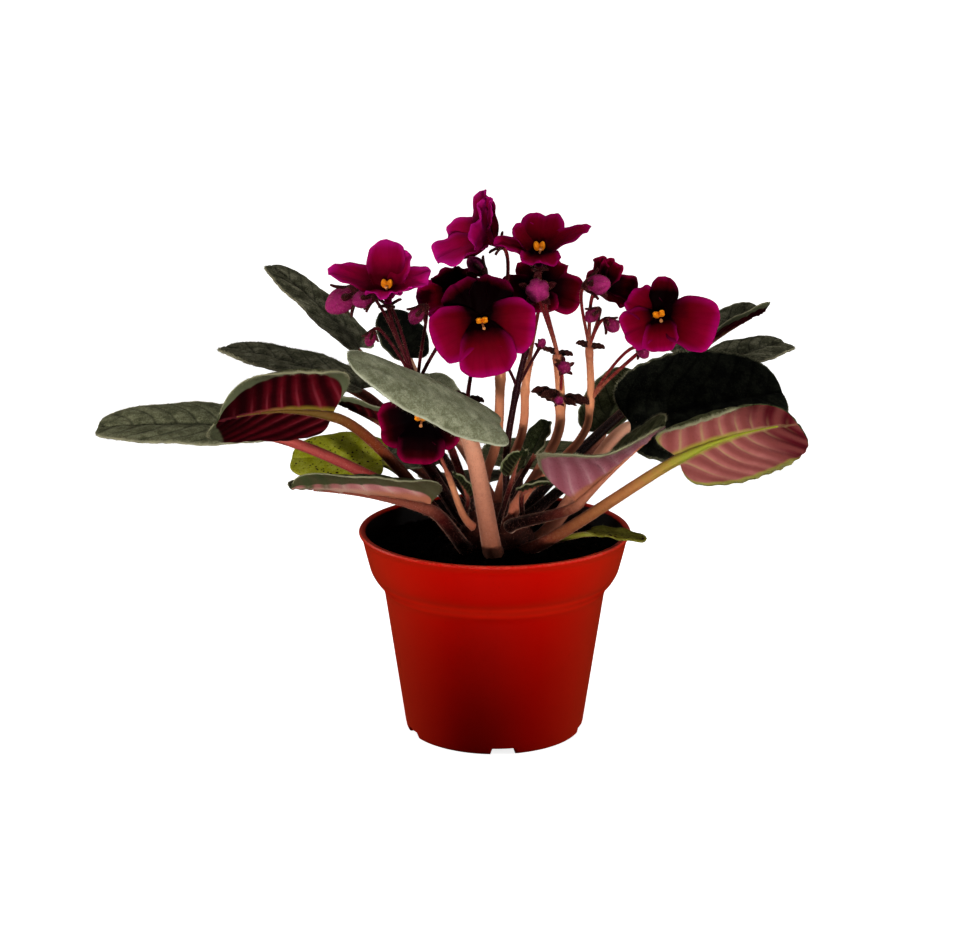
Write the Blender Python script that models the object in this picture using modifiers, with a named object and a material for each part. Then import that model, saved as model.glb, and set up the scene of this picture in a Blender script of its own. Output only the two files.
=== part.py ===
"""Potted African violet: a nursery pot, its soil, and a flowering rosette.

Metres and degrees throughout, +Z up. The origin is the middle of the pot's underside.
An azimuth is measured from +X towards +Y, and the plant is seen from -Y.
"""

import math
from dataclasses import dataclass

import bmesh
import bpy
from mathutils import Matrix, Vector

RIM_RADIUS = 0.0525
POT_HEIGHT = 0.080
POT_WALL = 0.0012
POT_SIDES = 30
NECK_RADIUS = 0.0432
NECK_HEIGHT = 0.0593
FOOT_RADIUS = 0.0345
FOOT_WIDTH = 0.0024
FLOOR_RISE = 0.0030
MIDDLE_RADIUS = 0.015
NOTCHES = 5
NOTCH_WIDTH = 0.0095
NOTCH_HEIGHT = 0.0026
FIRST_NOTCH = -84.8
DRAIN_RADIUS = 0.0027
DRAIN_RING = 0.024
DRAIN_SIDES = 8

GAP = 0.0003
SHARP_ANGLE = 45
SOIL_HEIGHT = 0.0700
SOIL_LUMP = 0.0010
SOIL_RINGS = 4

CROWN_RADIUS = 0.0155
CROWN_RISE = 0.0185
CROWN_CENTRE = 0.071
STUB_RADIUS = 0.010
STUB_BOTTOM = 0.057
CROWN_SIDES = 18

BLADE_THICKNESS = 0.0012
PETAL_THICKNESS = 0.0007
BRACT_THICKNESS = 0.0006
BLADE_LOBE = 0.13
SCALLOP = 0.018
MIDRIB_END = 0.78
PETIOLE_PULL = 0.62

HUB_BACK = 0.0040
HUB_FRONT = 0.0022
HUB_RADIUS = 0.0022
HUB_SIDES = 6
CALYX_HEIGHT = 0.0026
CALYX_RADIUS = 0.0021
SEPAL_REACH = 0.0038
ANTHER_SIZE = Vector((0.0013, 0.0010, 0.0018))
BUD_SIDES = 6


# Each petal: its angle round the face, length, width, how far it stands forward, and how far back it lies.
OPEN = (
    (62, 0.0155, 0.0135, 15, 0.0009),
    (118, 0.0155, 0.0135, 15, 0.0018),
    (196, 0.0180, 0.0180, 15, 0.0000),
    (344, 0.0180, 0.0180, 15, 0.0000),
    (270, 0.0190, 0.0190, 15, -0.0010),
)
WINGED = (
    (62, 0.0185, 0.0120, 56, 0.0009),
    (104, 0.0205, 0.0125, 60, 0.0018),
    (170, 0.0270, 0.0140, 16, 0.0000),
    (350, 0.0215, 0.0185, 20, 0.0000),
    (268, 0.0105, 0.0130, 34, -0.0010),
)
CROWNED = (
    (78, 0.0180, 0.0160, 48, 0.0009),
    (128, 0.0165, 0.0110, 50, 0.0018),
    (176, 0.0190, 0.0120, 10, 0.0000),
    (8, 0.0240, 0.0125, 24, 0.0000),
    (270, 0.0110, 0.0150, 20, -0.0010),
)
SPREAD = (
    (70, 0.0155, 0.0100, 26, 0.0009),
    (125, 0.0150, 0.0125, 20, 0.0018),
    (190, 0.0145, 0.0150, 15, 0.0000),
    (328, 0.0235, 0.0205, 12, 0.0000),
    (262, 0.0135, 0.0130, 15, -0.0010),
)
SIDEWISE = (
    (62, 0.0165, 0.0115, 46, 0.0009),
    (116, 0.0185, 0.0125, 40, 0.0018),
    (200, 0.0190, 0.0155, 34, 0.0000),
    (20, 0.0185, 0.0150, 56, 0.0000),
    (255, 0.0190, 0.0190, 50, -0.0010),
)
SHALLOW = (
    (62, 0.0155, 0.0135, 15, 0.0009),
    (118, 0.0155, 0.0135, 15, 0.0018),
    (196, 0.0180, 0.0170, 15, 0.0000),
    (344, 0.0180, 0.0180, 15, 0.0000),
    (270, 0.0120, 0.0140, 15, -0.0010),
)
CUPPED = (
    (62, 0.0165, 0.0125, 36, 0.0009),
    (118, 0.0165, 0.0125, 36, 0.0018),
    (196, 0.0190, 0.0155, 34, 0.0000),
    (344, 0.0190, 0.0155, 34, 0.0000),
    (270, 0.0190, 0.0155, 38, -0.0010),
)


@dataclass
class Leaf:
    """A leaf: where its stalk leaves the crown, where its blade starts, and how the blade lies.

    fold, curl and flare have one angle for the side to the left of the midrib and one for the right.
    """

    name: str
    root: tuple  # azimuth and latitude on the crown
    base: tuple  # azimuth, distance from the axis and height of the blade's base
    heading: float
    pitch: float
    roll: float
    length: float
    width: float
    stalk: float = 0.0030
    bow: float = 12
    fold: tuple = (8, 8)
    curl: tuple = (-14, -14)
    flare: tuple = (0, 0)
    ripple: float = 0.0005
    lift: float = 0
    join: float = 0  # how far up the blade its stalk meets it, against its length
    sway: float = 0  # how far the blade's tip turns to its left
    rows: int = 9


@dataclass
class Bloom:
    """A flower: the middle of its face, the way it faces, and the fork of the stalk it hangs from."""

    name: str
    stalk: str
    centre: tuple
    azimuth: float
    elevation: float
    roll: float = 0
    size: float = 1.0
    petals: tuple = OPEN
    fork: int = -1


@dataclass
class Bud:
    """A flower bud: its middle, the way it points, its radius and its length."""

    centre: tuple
    azimuth: float
    elevation: float
    radius: float
    length: float
    fork: int = -1


@dataclass
class Stalk:
    """A flower stalk: where it leaves the crown, the points it passes, and what it carries."""

    name: str
    root: tuple
    route: tuple
    radius: float
    buds: tuple = ()
    bracts: tuple = ()  # the fork and the azimuth of each small leaf


LEAVES = (
    Leaf("leaf_far_left", (168, 24), (177, 0.089, 0.1177), 180, 6, -10, 0.064, 0.040, lift=0.7),
    Leaf("leaf_upper_left", (118, 42), (137, 0.074, 0.141), 149, 40, 5, 0.052, 0.028, 0.0024, rows=8),
    Leaf("leaf_left_back", (152, 42), (164, 0.0535, 0.132), 156, 16, -1, 0.062, 0.034, 0.0026, rows=8),
    Leaf("leaf_left_front", (198, 22), (204, 0.066, 0.1315), 199, 14, 64, 0.045, 0.056, 0.0030,
         bow=18, fold=(8, 26), curl=(-84, 0), lift=0.7, sway=-26),
    Leaf("leaf_front", (268, 10), (271.2, 0.054, 0.1335), 211, 32, -30, 0.066, 0.031, 0.0040,
         curl=(-50, -55), fold=(0, 0), join=0.25),
    Leaf("leaf_low_left", (231, 10), (231, 0.0386, 0.098), 207, 17, 0, 0.057, 0.026, 0.0032,
         fold=(64, 8), flare=(20, 0), curl=(-92, 0), bow=8, lift=0.5),
    Leaf("leaf_yellow_left", (141, 10), (153, 0.050, 0.101), 175, 4, -28, 0.036, 0.029, 0.0016, rows=7),
    Leaf("leaf_right_front", (314, 10), (-32, 0.0783, 0.1185), -26, 31, -70, 0.053, 0.038, 0.0032,
         bow=26, fold=(4, 0), curl=(0, -110)),
    Leaf("leaf_right_folded", (300, 42), (-43, 0.0405, 0.0985), -19, 46, 0, 0.047, 0.055, 0.0028,
         bow=0, fold=(12, 5), flare=(0, 74), curl=(0, 0)),
    Leaf("leaf_right_dark", (5, 10), (16, 0.055, 0.118), 12, 12, 42, 0.064, 0.052),
    Leaf("leaf_upper_right", (32, 42), (45, 0.1130, 0.1312), 33, 24, 4, 0.044, 0.028, 0.0022,
         bow=8, fold=(20, 8), curl=(0, 0), lift=0.4, rows=8),
    Leaf("leaf_far_right", (4, 42), (31, 0.0973, 0.1305), 27, 21, 8, 0.042, 0.027, 0.0022, bow=26, rows=8),
    Leaf("leaf_right_back", (58, 42), (55, 0.0765, 0.103), 55, 44, 0, 0.034, 0.027, 0.0022,
         fold=(24, 24), rows=7),
    Leaf("leaf_yellow_right", (342, 10), (-31, 0.0423, 0.0850), -24, 2, 0, 0.0215, 0.013, 0.0013,
         rows=6),
    Leaf("leaf_left_inner", (187, 42), (188, 0.031, 0.115), 186, 35, 8, 0.034, 0.026, 0.0022,
         fold=(30, 20), rows=8),
    Leaf("leaf_dark_back", (87, 42), (130, 0.0515, 0.139), 124, 52, 0, 0.025, 0.026, 0.0020, rows=8),
    Leaf("leaf_back_right", (62, 10), (78, 0.048, 0.092), 76, 4, 0, 0.052, 0.040, rows=7),
    Leaf("leaf_back", (92, 10), (101, 0.045, 0.086), 104, -4, 0, 0.046, 0.034, 0.0022, rows=6),
    Leaf("leaf_back_left", (122, 10), (124, 0.050, 0.094), 132, 4, 0, 0.048, 0.036, rows=7),
    Leaf("leaf_pale_back", (106, 10), (111, 0.0557, 0.108), 110, 50, 0, 0.026, 0.022, 0.0014, rows=6),
    Leaf("leaf_young_front", (275, 42), (-71, 0.0195, 0.106), -60, 60, 0, 0.013, 0.011, 0.0011,
         fold=(24, 24), rows=6),
    Leaf("leaf_young_low", (325, 42), (-50, 0.0165, 0.0985), -35, 28, 0, 0.014, 0.012, 0.0011,
         fold=(20, 20), rows=6),
    Leaf("leaf_young_left", (206, 44), (-131, 0.0150, 0.0965), 210, 60, 0, 0.011, 0.010, 0.0010,
         fold=(20, 20), rows=6),
    Leaf("leaf_young_right", (46, 66), (38, 0.0190, 0.107), 40, 60, 0, 0.014, 0.012, 0.0011,
         fold=(24, 24), rows=6),
)

BLOOMS = (
    Bloom("bloom_left_top", "stalk_left", (-0.0406, 0.004, 0.1710), -95, 66, -4, 1.0, WINGED),
    Bloom("bloom_upper_left", "stalk_tall", (-0.0021, 0.010, 0.1904), 203, 28, 0, 1.12, SIDEWISE),
    Bloom("bloom_top", "stalk_bracted", (0.0163, -0.006, 0.1868), -90, 68, 2, 1.0, CROWNED),
    Bloom("bloom_middle_back", "stalk_pale", (0.018, 0.016, 0.1708), -90, 30, 0, 0.88, SHALLOW),
    Bloom("bloom_middle", "stalk_middle", (-0.0050, -0.025, 0.1660), -90, 12, 8, 1.10),
    Bloom("bloom_right", "stalk_right", (0.0612, -0.018, 0.1656), -108, 30, 20, 1.04, SPREAD, 2),
    Bloom("bloom_low", "stalk_low", (-0.0270, -0.027, 0.1295), -98, 18, 0, 0.90),
    Bloom("bloom_upper_right", "stalk_right", (0.0418, 0.012, 0.1728), 50, 15, 0, 0.70, CUPPED),
    Bloom("bloom_back_left", "stalk_left", (-0.016, 0.022, 0.168), 110, 24, 0, 0.8),
)

STALKS = (
    Stalk("stalk_left", (165, 62), ((-0.018, 0.010, 0.112), (-0.0293, 0.008, 0.1337)), 0.0016,
          (Bud((-0.0585, 0.014, 0.1665), 200, -30, 0.0050, 0.013),
           Bud((-0.0501, 0.010, 0.1677), 190, -20, 0.0036, 0.008),
           Bud((-0.0294, -0.004, 0.1641), 200, -50, 0.0030, 0.007),
           Bud((-0.0473, 0.006, 0.1533), 200, -70, 0.0022, 0.006)),
          ((2, 200), (2, 20))),
    Stalk("stalk_middle", (228, 62), ((-0.0075, -0.0105, 0.112), (-0.0104, -0.012, 0.1331)), 0.0015,
          bracts=((2, 165), (2, 5))),
    Stalk("stalk_tall", (120, 62), ((0.001, 0.003, 0.115), (0.0022, 0.002, 0.1407),
                                    (0.0038, 0.004, 0.166)), 0.0020,
          (Bud((-0.0071, 0.008, 0.1808), 160, 40, 0.0032, 0.008),)),
    Stalk("stalk_dark", (295, 62), ((0.0045, -0.006, 0.113), (0.0083, -0.004, 0.136),
                                    (0.0119, -0.003, 0.1515)), 0.0014,
          (Bud((0.0175, -0.003, 0.153), 300, 50, 0.0016, 0.005, 2),
           Bud((0.0030, -0.008, 0.148), 230, 50, 0.0014, 0.005, 2))),
    Stalk("stalk_pale", (80, 62), ((0.0106, 0.012, 0.1148), (0.0118, 0.012, 0.1325),
                                   (0.0133, 0.012, 0.1435)), 0.0018),
    Stalk("stalk_bracted", (338, 62), ((0.023, 0.002, 0.1138), (0.025, 0.002, 0.1293),
                                       (0.0237, 0.002, 0.1478)), 0.0021,
          (Bud((0.0158, -0.008, 0.1743), 270, 20, 0.0046, 0.009),
           Bud((0.0261, -0.006, 0.1446), 280, 30, 0.0026, 0.005, 2),
           Bud((0.0242, -0.0045, 0.1315), 270, 30, 0.0018, 0.004, 2)),
          ((2, 175), (2, 5), (3, 170), (3, 10))),
    Stalk("stalk_right", (12, 62), ((0.0322, 0.004, 0.1134), (0.0365, 0.004, 0.1293),
                                    (0.0358, 0.003, 0.1503)), 0.0017,
          (Bud((0.0385, -0.004, 0.1757), 330, 10, 0.0040, 0.009),
           Bud((0.0367, 0.000, 0.1633), 200, -40, 0.0026, 0.006),
           Bud((0.0439, -0.005, 0.1605), 320, -30, 0.0027, 0.006),
           Bud((0.0553, -0.010, 0.1511), 300, -20, 0.0022, 0.006, 2)),
          ((3, 180), (3, 10))),
    Stalk("stalk_low", (227, 40), ((-0.018, -0.016, 0.106),), 0.0014),
)


def direction(azimuth, elevation):
    """The unit vector that points that way."""
    a, e = math.radians(azimuth), math.radians(elevation)
    return Vector((math.cos(a) * math.cos(e), math.sin(a) * math.cos(e), math.sin(e)))


def material(name, colour, roughness):
    """A Principled material of one colour, given as red, green and blue."""
    made = bpy.data.materials.new(name)
    made.use_nodes = True
    shader = made.node_tree.nodes["Principled BSDF"]
    shader.inputs["Base Color"].default_value = (*colour, 1)
    shader.inputs["Roughness"].default_value = roughness
    made.diffuse_color = (*colour, 1)
    return made


def placed(name, mesh, collection):
    """A new object that shows the mesh."""
    made = bpy.data.objects.new(name, mesh)
    collection.objects.link(made)
    return made


def settled(source):
    """Replaces an object with one that holds its evaluated mesh, in world space."""
    bpy.context.view_layer.update()
    graph = bpy.context.evaluated_depsgraph_get()
    mesh = bpy.data.meshes.new_from_object(source.evaluated_get(graph))
    mesh.transform(source.matrix_world)
    work = bmesh.new()
    work.from_mesh(mesh)
    bmesh.ops.remove_doubles(work, verts=work.verts, dist=1e-6)
    bmesh.ops.recalc_face_normals(work, faces=work.faces)
    work.to_mesh(mesh)
    work.free()
    name, collection = source.name, source.users_collection[0]
    bpy.data.objects.remove(source)
    return placed(name, mesh, collection)


def combined(first, others, operation="UNION", solver="EXACT"):
    """Joins the others to the first solid, or cuts them from it, and removes them."""
    group = bpy.data.collections.new(first.name + "_others")
    bpy.context.scene.collection.children.link(group)
    for other in others:
        other.users_collection[0].objects.unlink(other)
        group.objects.link(other)
    boolean = first.modifiers.new("Join", "BOOLEAN")
    boolean.operand_type = "COLLECTION"
    boolean.collection = group
    boolean.operation = operation
    boolean.solver = solver
    made = settled(first)
    for other in list(group.objects):
        bpy.data.objects.remove(other)
    bpy.data.collections.remove(group)
    return made


def tube(name, points, radii, collection, resolution=1):
    """A solid tube through the points, with a radius at each."""
    curve = bpy.data.curves.new(name, "CURVE")
    curve.dimensions = "3D"
    curve.bevel_depth = radii[0]
    curve.bevel_resolution = resolution
    curve.use_fill_caps = True
    spline = curve.splines.new("POLY")
    spline.points.add(len(points) - 1)
    for slot, point, radius in zip(spline.points, points, radii):
        slot.co = (*point, 1)
        slot.radius = radius / radii[0]
    return settled(placed(name, curve, collection))


def bend(start, start_pull, end, end_pull, steps):
    """Points along a smooth curve that leaves and arrives along the two pulls."""
    points = []
    for i in range(steps + 1):
        s = i / steps
        points.append(
            start * (2 * s**3 - 3 * s**2 + 1)
            + start_pull * (s**3 - 2 * s**2 + s)
            + end * (3 * s**2 - 2 * s**3)
            + end_pull * (s**3 - s**2)
        )
    return points


def from_crown(root, end, arrival, lift, steps):
    """A path that leaves the crown square to its surface, then swings over to its end."""
    start, way = crown_spot(*root)
    foot = start + way * 0.0008
    ahead = (end - foot).normalized() + Vector((0, 0, lift))
    span = (end - foot).length * PETIOLE_PULL
    return [start] + bend(foot, (way + ahead).normalized() * span, end, arrival * span, steps)


def smooth_route(points, start_way, steps):
    """A smooth curve through the points, which leaves the first one along start_way."""
    ways = [start_way * (points[1] - points[0]).length]
    for before, after in zip(points, points[2:]):
        ways.append((after - before) / 2)
    ways.append(points[-1] - points[-2])
    route = [points[0]]
    for i in range(len(points) - 1):
        route += bend(points[i], ways[i], points[i + 1], ways[i + 1], steps)[1:]
    return route


def turned(name, profile, sides, collection):
    """The solid of revolution of a profile of (radius, height), listed outer side first."""
    mesh = bpy.data.meshes.new(name)
    mesh.from_pydata([(r, 0, z) for r, z in profile], [(i, i + 1) for i in range(len(profile) - 1)], [])
    made = placed(name, mesh, collection)
    screw = made.modifiers.new("Turn", "SCREW")
    screw.steps = sides
    screw.render_steps = sides
    screw.use_merge_vertices = True
    screw.merge_threshold = 0.00001
    return settled(made)


def crown_spot(azimuth, latitude):
    """A point just off the crown's surface, and the way that surface faces there."""
    a, b = math.radians(azimuth), math.radians(latitude)
    out = Vector((math.cos(a), math.sin(a), 0))
    point = out * (CROWN_RADIUS * math.cos(b)) + Vector((0, 0, CROWN_RISE * math.sin(b)))
    way = out * (math.cos(b) / CROWN_RADIUS) + Vector((0, 0, math.sin(b) / CROWN_RISE))
    way.normalize()
    return point + Vector((0, 0, CROWN_CENTRE)) + way * GAP, way


class Sheet:
    """A curved leaf or petal: its midrib bows, and each half folds up and curls from it."""

    def __init__(self, origin, forward, side, length, width, bow, fold, curl, flare=(0, 0), ripple=0.0,
                 sway=0.0):
        self.origin, self.forward, self.side = origin, forward, side
        self.up = forward.cross(side)
        self.length, self.width, self.ripple = length, width, ripple
        self.bow = math.radians(bow or 0.01) / length
        self.fold, self.curl, self.flare = fold, curl, flare
        self.sway = math.tan(math.radians(sway)) / (2 * length)

    def point(self, along, across, lift=0.0):
        """The point that far along and across the flat sheet, lifted off its surface."""
        hand = 0 if across > 0 else 1
        half, share = abs(across), along / self.length
        start = self.fold[hand] + self.flare[hand] * max(1 - share, 0) ** 2
        out, rise = 0.0, lift
        steps = 4
        for i in range(steps):
            edge = half * (i + 0.5) / steps / (self.width / 2)
            slope = math.radians(start + self.curl[hand] * edge**2)
            out += math.cos(slope) * half / steps
            rise += math.sin(slope) * half / steps
        edge = half / (self.width / 2)
        rise += self.ripple * edge**2 * math.sin(5 * math.pi * share + hand)
        a = self.bow * along
        middle = self.origin + self.forward * (math.sin(a) / self.bow)
        middle += self.side * (self.sway * along**2) - self.up * ((1 - math.cos(a)) / self.bow)
        up = self.up * math.cos(a) + self.forward * math.sin(a)
        return middle + self.side * math.copysign(out, across) + up * rise


def leaf_outline(u, t, row):
    """Where on a unit leaf the point is that lies u of the way up and t of the way to an edge."""
    lobe = BLADE_LOBE * math.sin(2 * math.pi * u) * math.cos(math.pi * u) ** 2 if u < 0.5 else 0
    edge_x = 0.5 * (1 - math.cos(math.pi * u)) - lobe
    edge_y = max(math.sin(math.pi * u), 0) ** 0.8 * (1 + 0.12 * math.cos(math.pi * u))
    edge_y *= 1 + SCALLOP * (1 if row % 2 else -1)
    middle = u**1.5
    return middle + (edge_x - middle) * abs(t) ** 1.3, t * edge_y


def petal_outline(u, t, row):
    """The same for a petal, which is narrow where it is held and broad at its tip."""
    edge_x = 0.5 * (1 - math.cos(math.pi * u))
    edge_y = max(math.sin(math.pi * u), 0) ** 0.75 * (1 - 0.30 * math.cos(math.pi * u))
    edge_y *= 1 + 0.02 * (1 if row % 2 else -1)
    middle = u**1.15
    return middle + (edge_x - middle) * abs(t), t * edge_y


def blade(name, sheet, outline, rows, columns, thickness, collection):
    """The solid of a sheet: a grid shaped to the outline, split into triangles and thickened."""
    work = bmesh.new()
    bmesh.ops.create_grid(work, x_segments=rows, y_segments=columns, size=1)
    for vertex in work.verts:
        u, t = (vertex.co.x + 1) / 2, vertex.co.y
        along, across = outline(u, t, round(u * rows))
        vertex.co = sheet.point(along * sheet.length, across * sheet.width / 2)
    bmesh.ops.remove_doubles(work, verts=work.verts, dist=1e-6)
    bmesh.ops.triangulate(work, faces=work.faces)
    mesh = bpy.data.meshes.new(name)
    work.to_mesh(mesh)
    work.free()
    made = placed(name, mesh, collection)
    solidify = made.modifiers.new("Thickness", "SOLIDIFY")
    solidify.thickness = thickness
    solidify.offset = 0
    return settled(made)


def leaf_sheet(leaf):
    """The curved sheet of a leaf's blade."""
    azimuth, reach, height = leaf.base
    origin = direction(azimuth, 0) * reach + Vector((0, 0, height))
    forward = direction(leaf.heading, leaf.pitch)
    level = direction(leaf.heading + 90, 0)
    side = Matrix.Rotation(math.radians(leaf.roll), 3, forward) @ level
    return Sheet(origin, forward, side, leaf.length, leaf.width, leaf.bow, leaf.fold, leaf.curl,
                 leaf.flare, leaf.ripple, leaf.sway)


def make_leaf(leaf, collection, skin):
    """One leaf: a stalk from the crown that runs on as the midrib, joined to its blade."""
    sheet = leaf_sheet(leaf)
    base = sheet.point(leaf.length * leaf.join, 0, -leaf.stalk * 0.6)
    arrival = (sheet.forward + Vector((0, 0, 4 * leaf.join))).normalized()
    route = from_crown(leaf.root, base, arrival, leaf.lift, 5 if leaf.rows > 7 else 4)
    radii = [leaf.stalk * (1 - 0.04 * i) for i in range(len(route))]
    ribs = 2
    for i in range(1, ribs + 1):
        share = i / ribs
        radius = leaf.stalk * (0.70 - 0.48 * share)
        route.append(sheet.point(leaf.length * MIDRIB_END * share, 0, -radius * 0.8))
        radii.append(radius)
    stem = tube(leaf.name + "_stem", route, radii, collection)
    columns = 4 if leaf.rows > 7 else 2
    made = blade(leaf.name, sheet, leaf_outline, leaf.rows, columns, BLADE_THICKNESS, collection)
    made = combined(made, [stem], solver="MANIFOLD")  # the exact one loses a blade curled this far
    made.data.materials.append(skin)
    return made


def facing(azimuth, elevation, roll, centre):
    """The matrix that turns +Z to face that way and puts it at the centre."""
    face = direction(azimuth, elevation)
    right = Vector((0, 0, 1)).cross(face).normalized()
    turn = Matrix((right, face.cross(right), face)).transposed().to_4x4()
    spin = Matrix.Rotation(math.radians(roll), 4, "Z")
    return Matrix.Translation(Vector(centre)) @ turn @ spin


def cone(name, back, front, radius_back, radius_front, sides, collection):
    """A solid cone or cylinder along Z between two heights."""
    work = bmesh.new()
    bmesh.ops.create_cone(work, cap_ends=True, segments=sides, radius1=radius_back,
                          radius2=radius_front, depth=front - back,
                          matrix=Matrix.Translation((0, 0, (front + back) / 2)))
    mesh = bpy.data.meshes.new(name)
    work.to_mesh(mesh)
    work.free()
    return placed(name, mesh, collection)


def ball(name, centre, size, sides, collection):
    """A solid ball stretched to a size along each axis."""
    work = bmesh.new()
    bmesh.ops.create_uvsphere(work, u_segments=sides, v_segments=max(4, sides * 2 // 3), radius=1,
                              matrix=Matrix.Translation(centre) @ Matrix.Diagonal((*size, 1)))
    mesh = bpy.data.meshes.new(name)
    work.to_mesh(mesh)
    work.free()
    return placed(name, mesh, collection)


def make_bloom(bloom, collection, skin, gold):
    """The five petals of a flower round its hub, and the pair of anthers on it."""
    stand = facing(bloom.azimuth, bloom.elevation, bloom.roll, bloom.centre)
    petals = []
    for i, (angle, length, width, opening, back) in enumerate(bloom.petals):
        forward = direction(angle, opening)
        side = direction(angle + 90, 0)
        sheet = Sheet(Vector((0, 0, -back)), forward, side, length * bloom.size, width * bloom.size,
                      22, (4, 4), (14, 14), ripple=0.0005)
        rows, columns = (3, 2) if i < 2 else (3, 4)
        petals.append(blade(f"{bloom.name}_petal_{i}", sheet, petal_outline, rows, columns,
                            PETAL_THICKNESS, collection))
    hub = cone(bloom.name, -HUB_BACK, HUB_FRONT, HUB_RADIUS * 0.7, HUB_RADIUS, HUB_SIDES, collection)
    made = combined(hub, petals)
    made.data.transform(stand)
    made.data.materials.append(skin)
    left, right = [
        ball(bloom.name.replace("bloom", "anthers") + mark,
             Vector((side * ANTHER_SIZE.x * 0.75, 0, HUB_FRONT + GAP + ANTHER_SIZE.z)), ANTHER_SIZE,
             5, collection)
        for side, mark in ((-1, ""), (1, "_other"))
    ]
    anthers = combined(left, [right])
    anthers.data.transform(stand)
    anthers.data.materials.append(gold)


def star_cup(name, stand, size, points, collection):
    """A calyx: a small cup along Z, whose rim has five points if points is set."""
    work = bmesh.new()
    sides = 10 if points else 5
    bmesh.ops.create_cone(work, cap_ends=True, segments=sides, radius1=CALYX_RADIUS * 0.5,
                          radius2=CALYX_RADIUS, depth=CALYX_HEIGHT)
    for vertex in work.verts:
        turn = round(math.atan2(vertex.co.y, vertex.co.x) / math.tau * 10)
        if points and vertex.co.z > 0 and turn % 2 == 0:
            vertex.co.xy *= SEPAL_REACH / CALYX_RADIUS
    bmesh.ops.scale(work, vec=(size, size, size), verts=work.verts)
    mesh = bpy.data.meshes.new(name)
    work.to_mesh(mesh)
    work.free()
    made = placed(name, mesh, collection)
    made.data.transform(stand @ Matrix.Translation((0, 0, -CALYX_HEIGHT * size / 2)))
    return made


def make_stalk(stalk, collection, skin):
    """A flower stalk with a thinner branch to each of its flowers and buds."""
    start, way = crown_spot(*stalk.root)
    steps = 3
    route = smooth_route([start + way * 0.0008, *map(Vector, stalk.route)], way, steps)
    radii = [stalk.radius * (1 - 0.2 * i / len(route)) for i in range(len(route) + 1)]
    trunk = tube(stalk.name, [start] + route, radii, collection)
    pieces = []
    ends = []
    for bloom in BLOOMS:
        if bloom.stalk == stalk.name:
            stand = facing(bloom.azimuth, bloom.elevation, bloom.roll, bloom.centre)
            ends.append((stand @ Matrix.Translation((0, 0, -HUB_BACK - GAP)), bloom.fork, None))
    for bud in stalk.buds:
        ends.append((facing(bud.azimuth, bud.elevation, 0, bud.centre), bud.fork, bud))
    for i, (stand, fork, bud) in enumerate(ends):
        name, size = f"{stalk.name}_{i}", 1.0
        spot = len(route) - 1 if fork < 0 else min(fork * steps, len(route) - 1)
        top = route[spot]
        heading = (top - route[spot - 1]).normalized()
        face = stand.to_3x3() @ Vector((0, 0, 1))
        if bud:
            grown = ball(name + "_bud", Vector(), Vector((bud.radius, bud.radius, bud.length / 2)),
                         BUD_SIDES, collection)
            grown.data.transform(stand)
            pieces.append(grown)
            size = bud.radius / CALYX_RADIUS * 0.8
            stand = stand @ Matrix.Translation((0, 0, -bud.length * 0.28))
        seat = stand @ Vector((0, 0, -CALYX_HEIGHT * size * 0.6))
        span = (seat - top).length
        leave = (heading + (seat - top).normalized()).normalized()
        radius = 0.0007 if not bud else 0.0006
        path = bend(top - leave * 0.0004, leave * span * 0.7, seat, face * span * 0.7, 4)
        pieces.append(tube(name + "_branch", path, [radius * 1.2] + [radius] * 4, collection, 0))
        pieces.append(star_cup(name + "_cup", stand, size, not bud, collection))
    for fork, azimuth in stalk.bracts:
        forward = direction(azimuth, 20)
        sheet = Sheet(route[fork * steps] - forward * 0.0004, forward, direction(azimuth + 90, 0),
                      0.0085, 0.0036, 30, (10, 10), (0, 0))
        pieces.append(blade(f"{stalk.name}_bract_{azimuth}", sheet, petal_outline, 2, 2,
                            BRACT_THICKNESS, collection))
    made = combined(trunk, pieces) if pieces else trunk
    made.data.materials.append(skin)


def crown_profile(extra):
    """The crown's outline from its top to the foot of its stub, made larger by extra."""
    steps = 9
    profile = []
    for i in range(steps + 1):
        latitude = math.radians(90 - 105 * i / steps)
        profile.append(((CROWN_RADIUS + extra) * math.cos(latitude),
                        CROWN_CENTRE + (CROWN_RISE + extra) * math.sin(latitude)))
    profile[0] = (0, profile[0][1])
    profile.append((STUB_RADIUS + extra, STUB_BOTTOM + 0.004))
    profile.append((STUB_RADIUS * 0.8 + extra, STUB_BOTTOM - extra))
    profile.append((0, STUB_BOTTOM - extra))
    return profile


def pot_wall_radius(height):
    """The outer radius of the pot's tapered body at a height."""
    return FOOT_RADIUS + (NECK_RADIUS - FOOT_RADIUS) * height / NECK_HEIGHT


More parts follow.
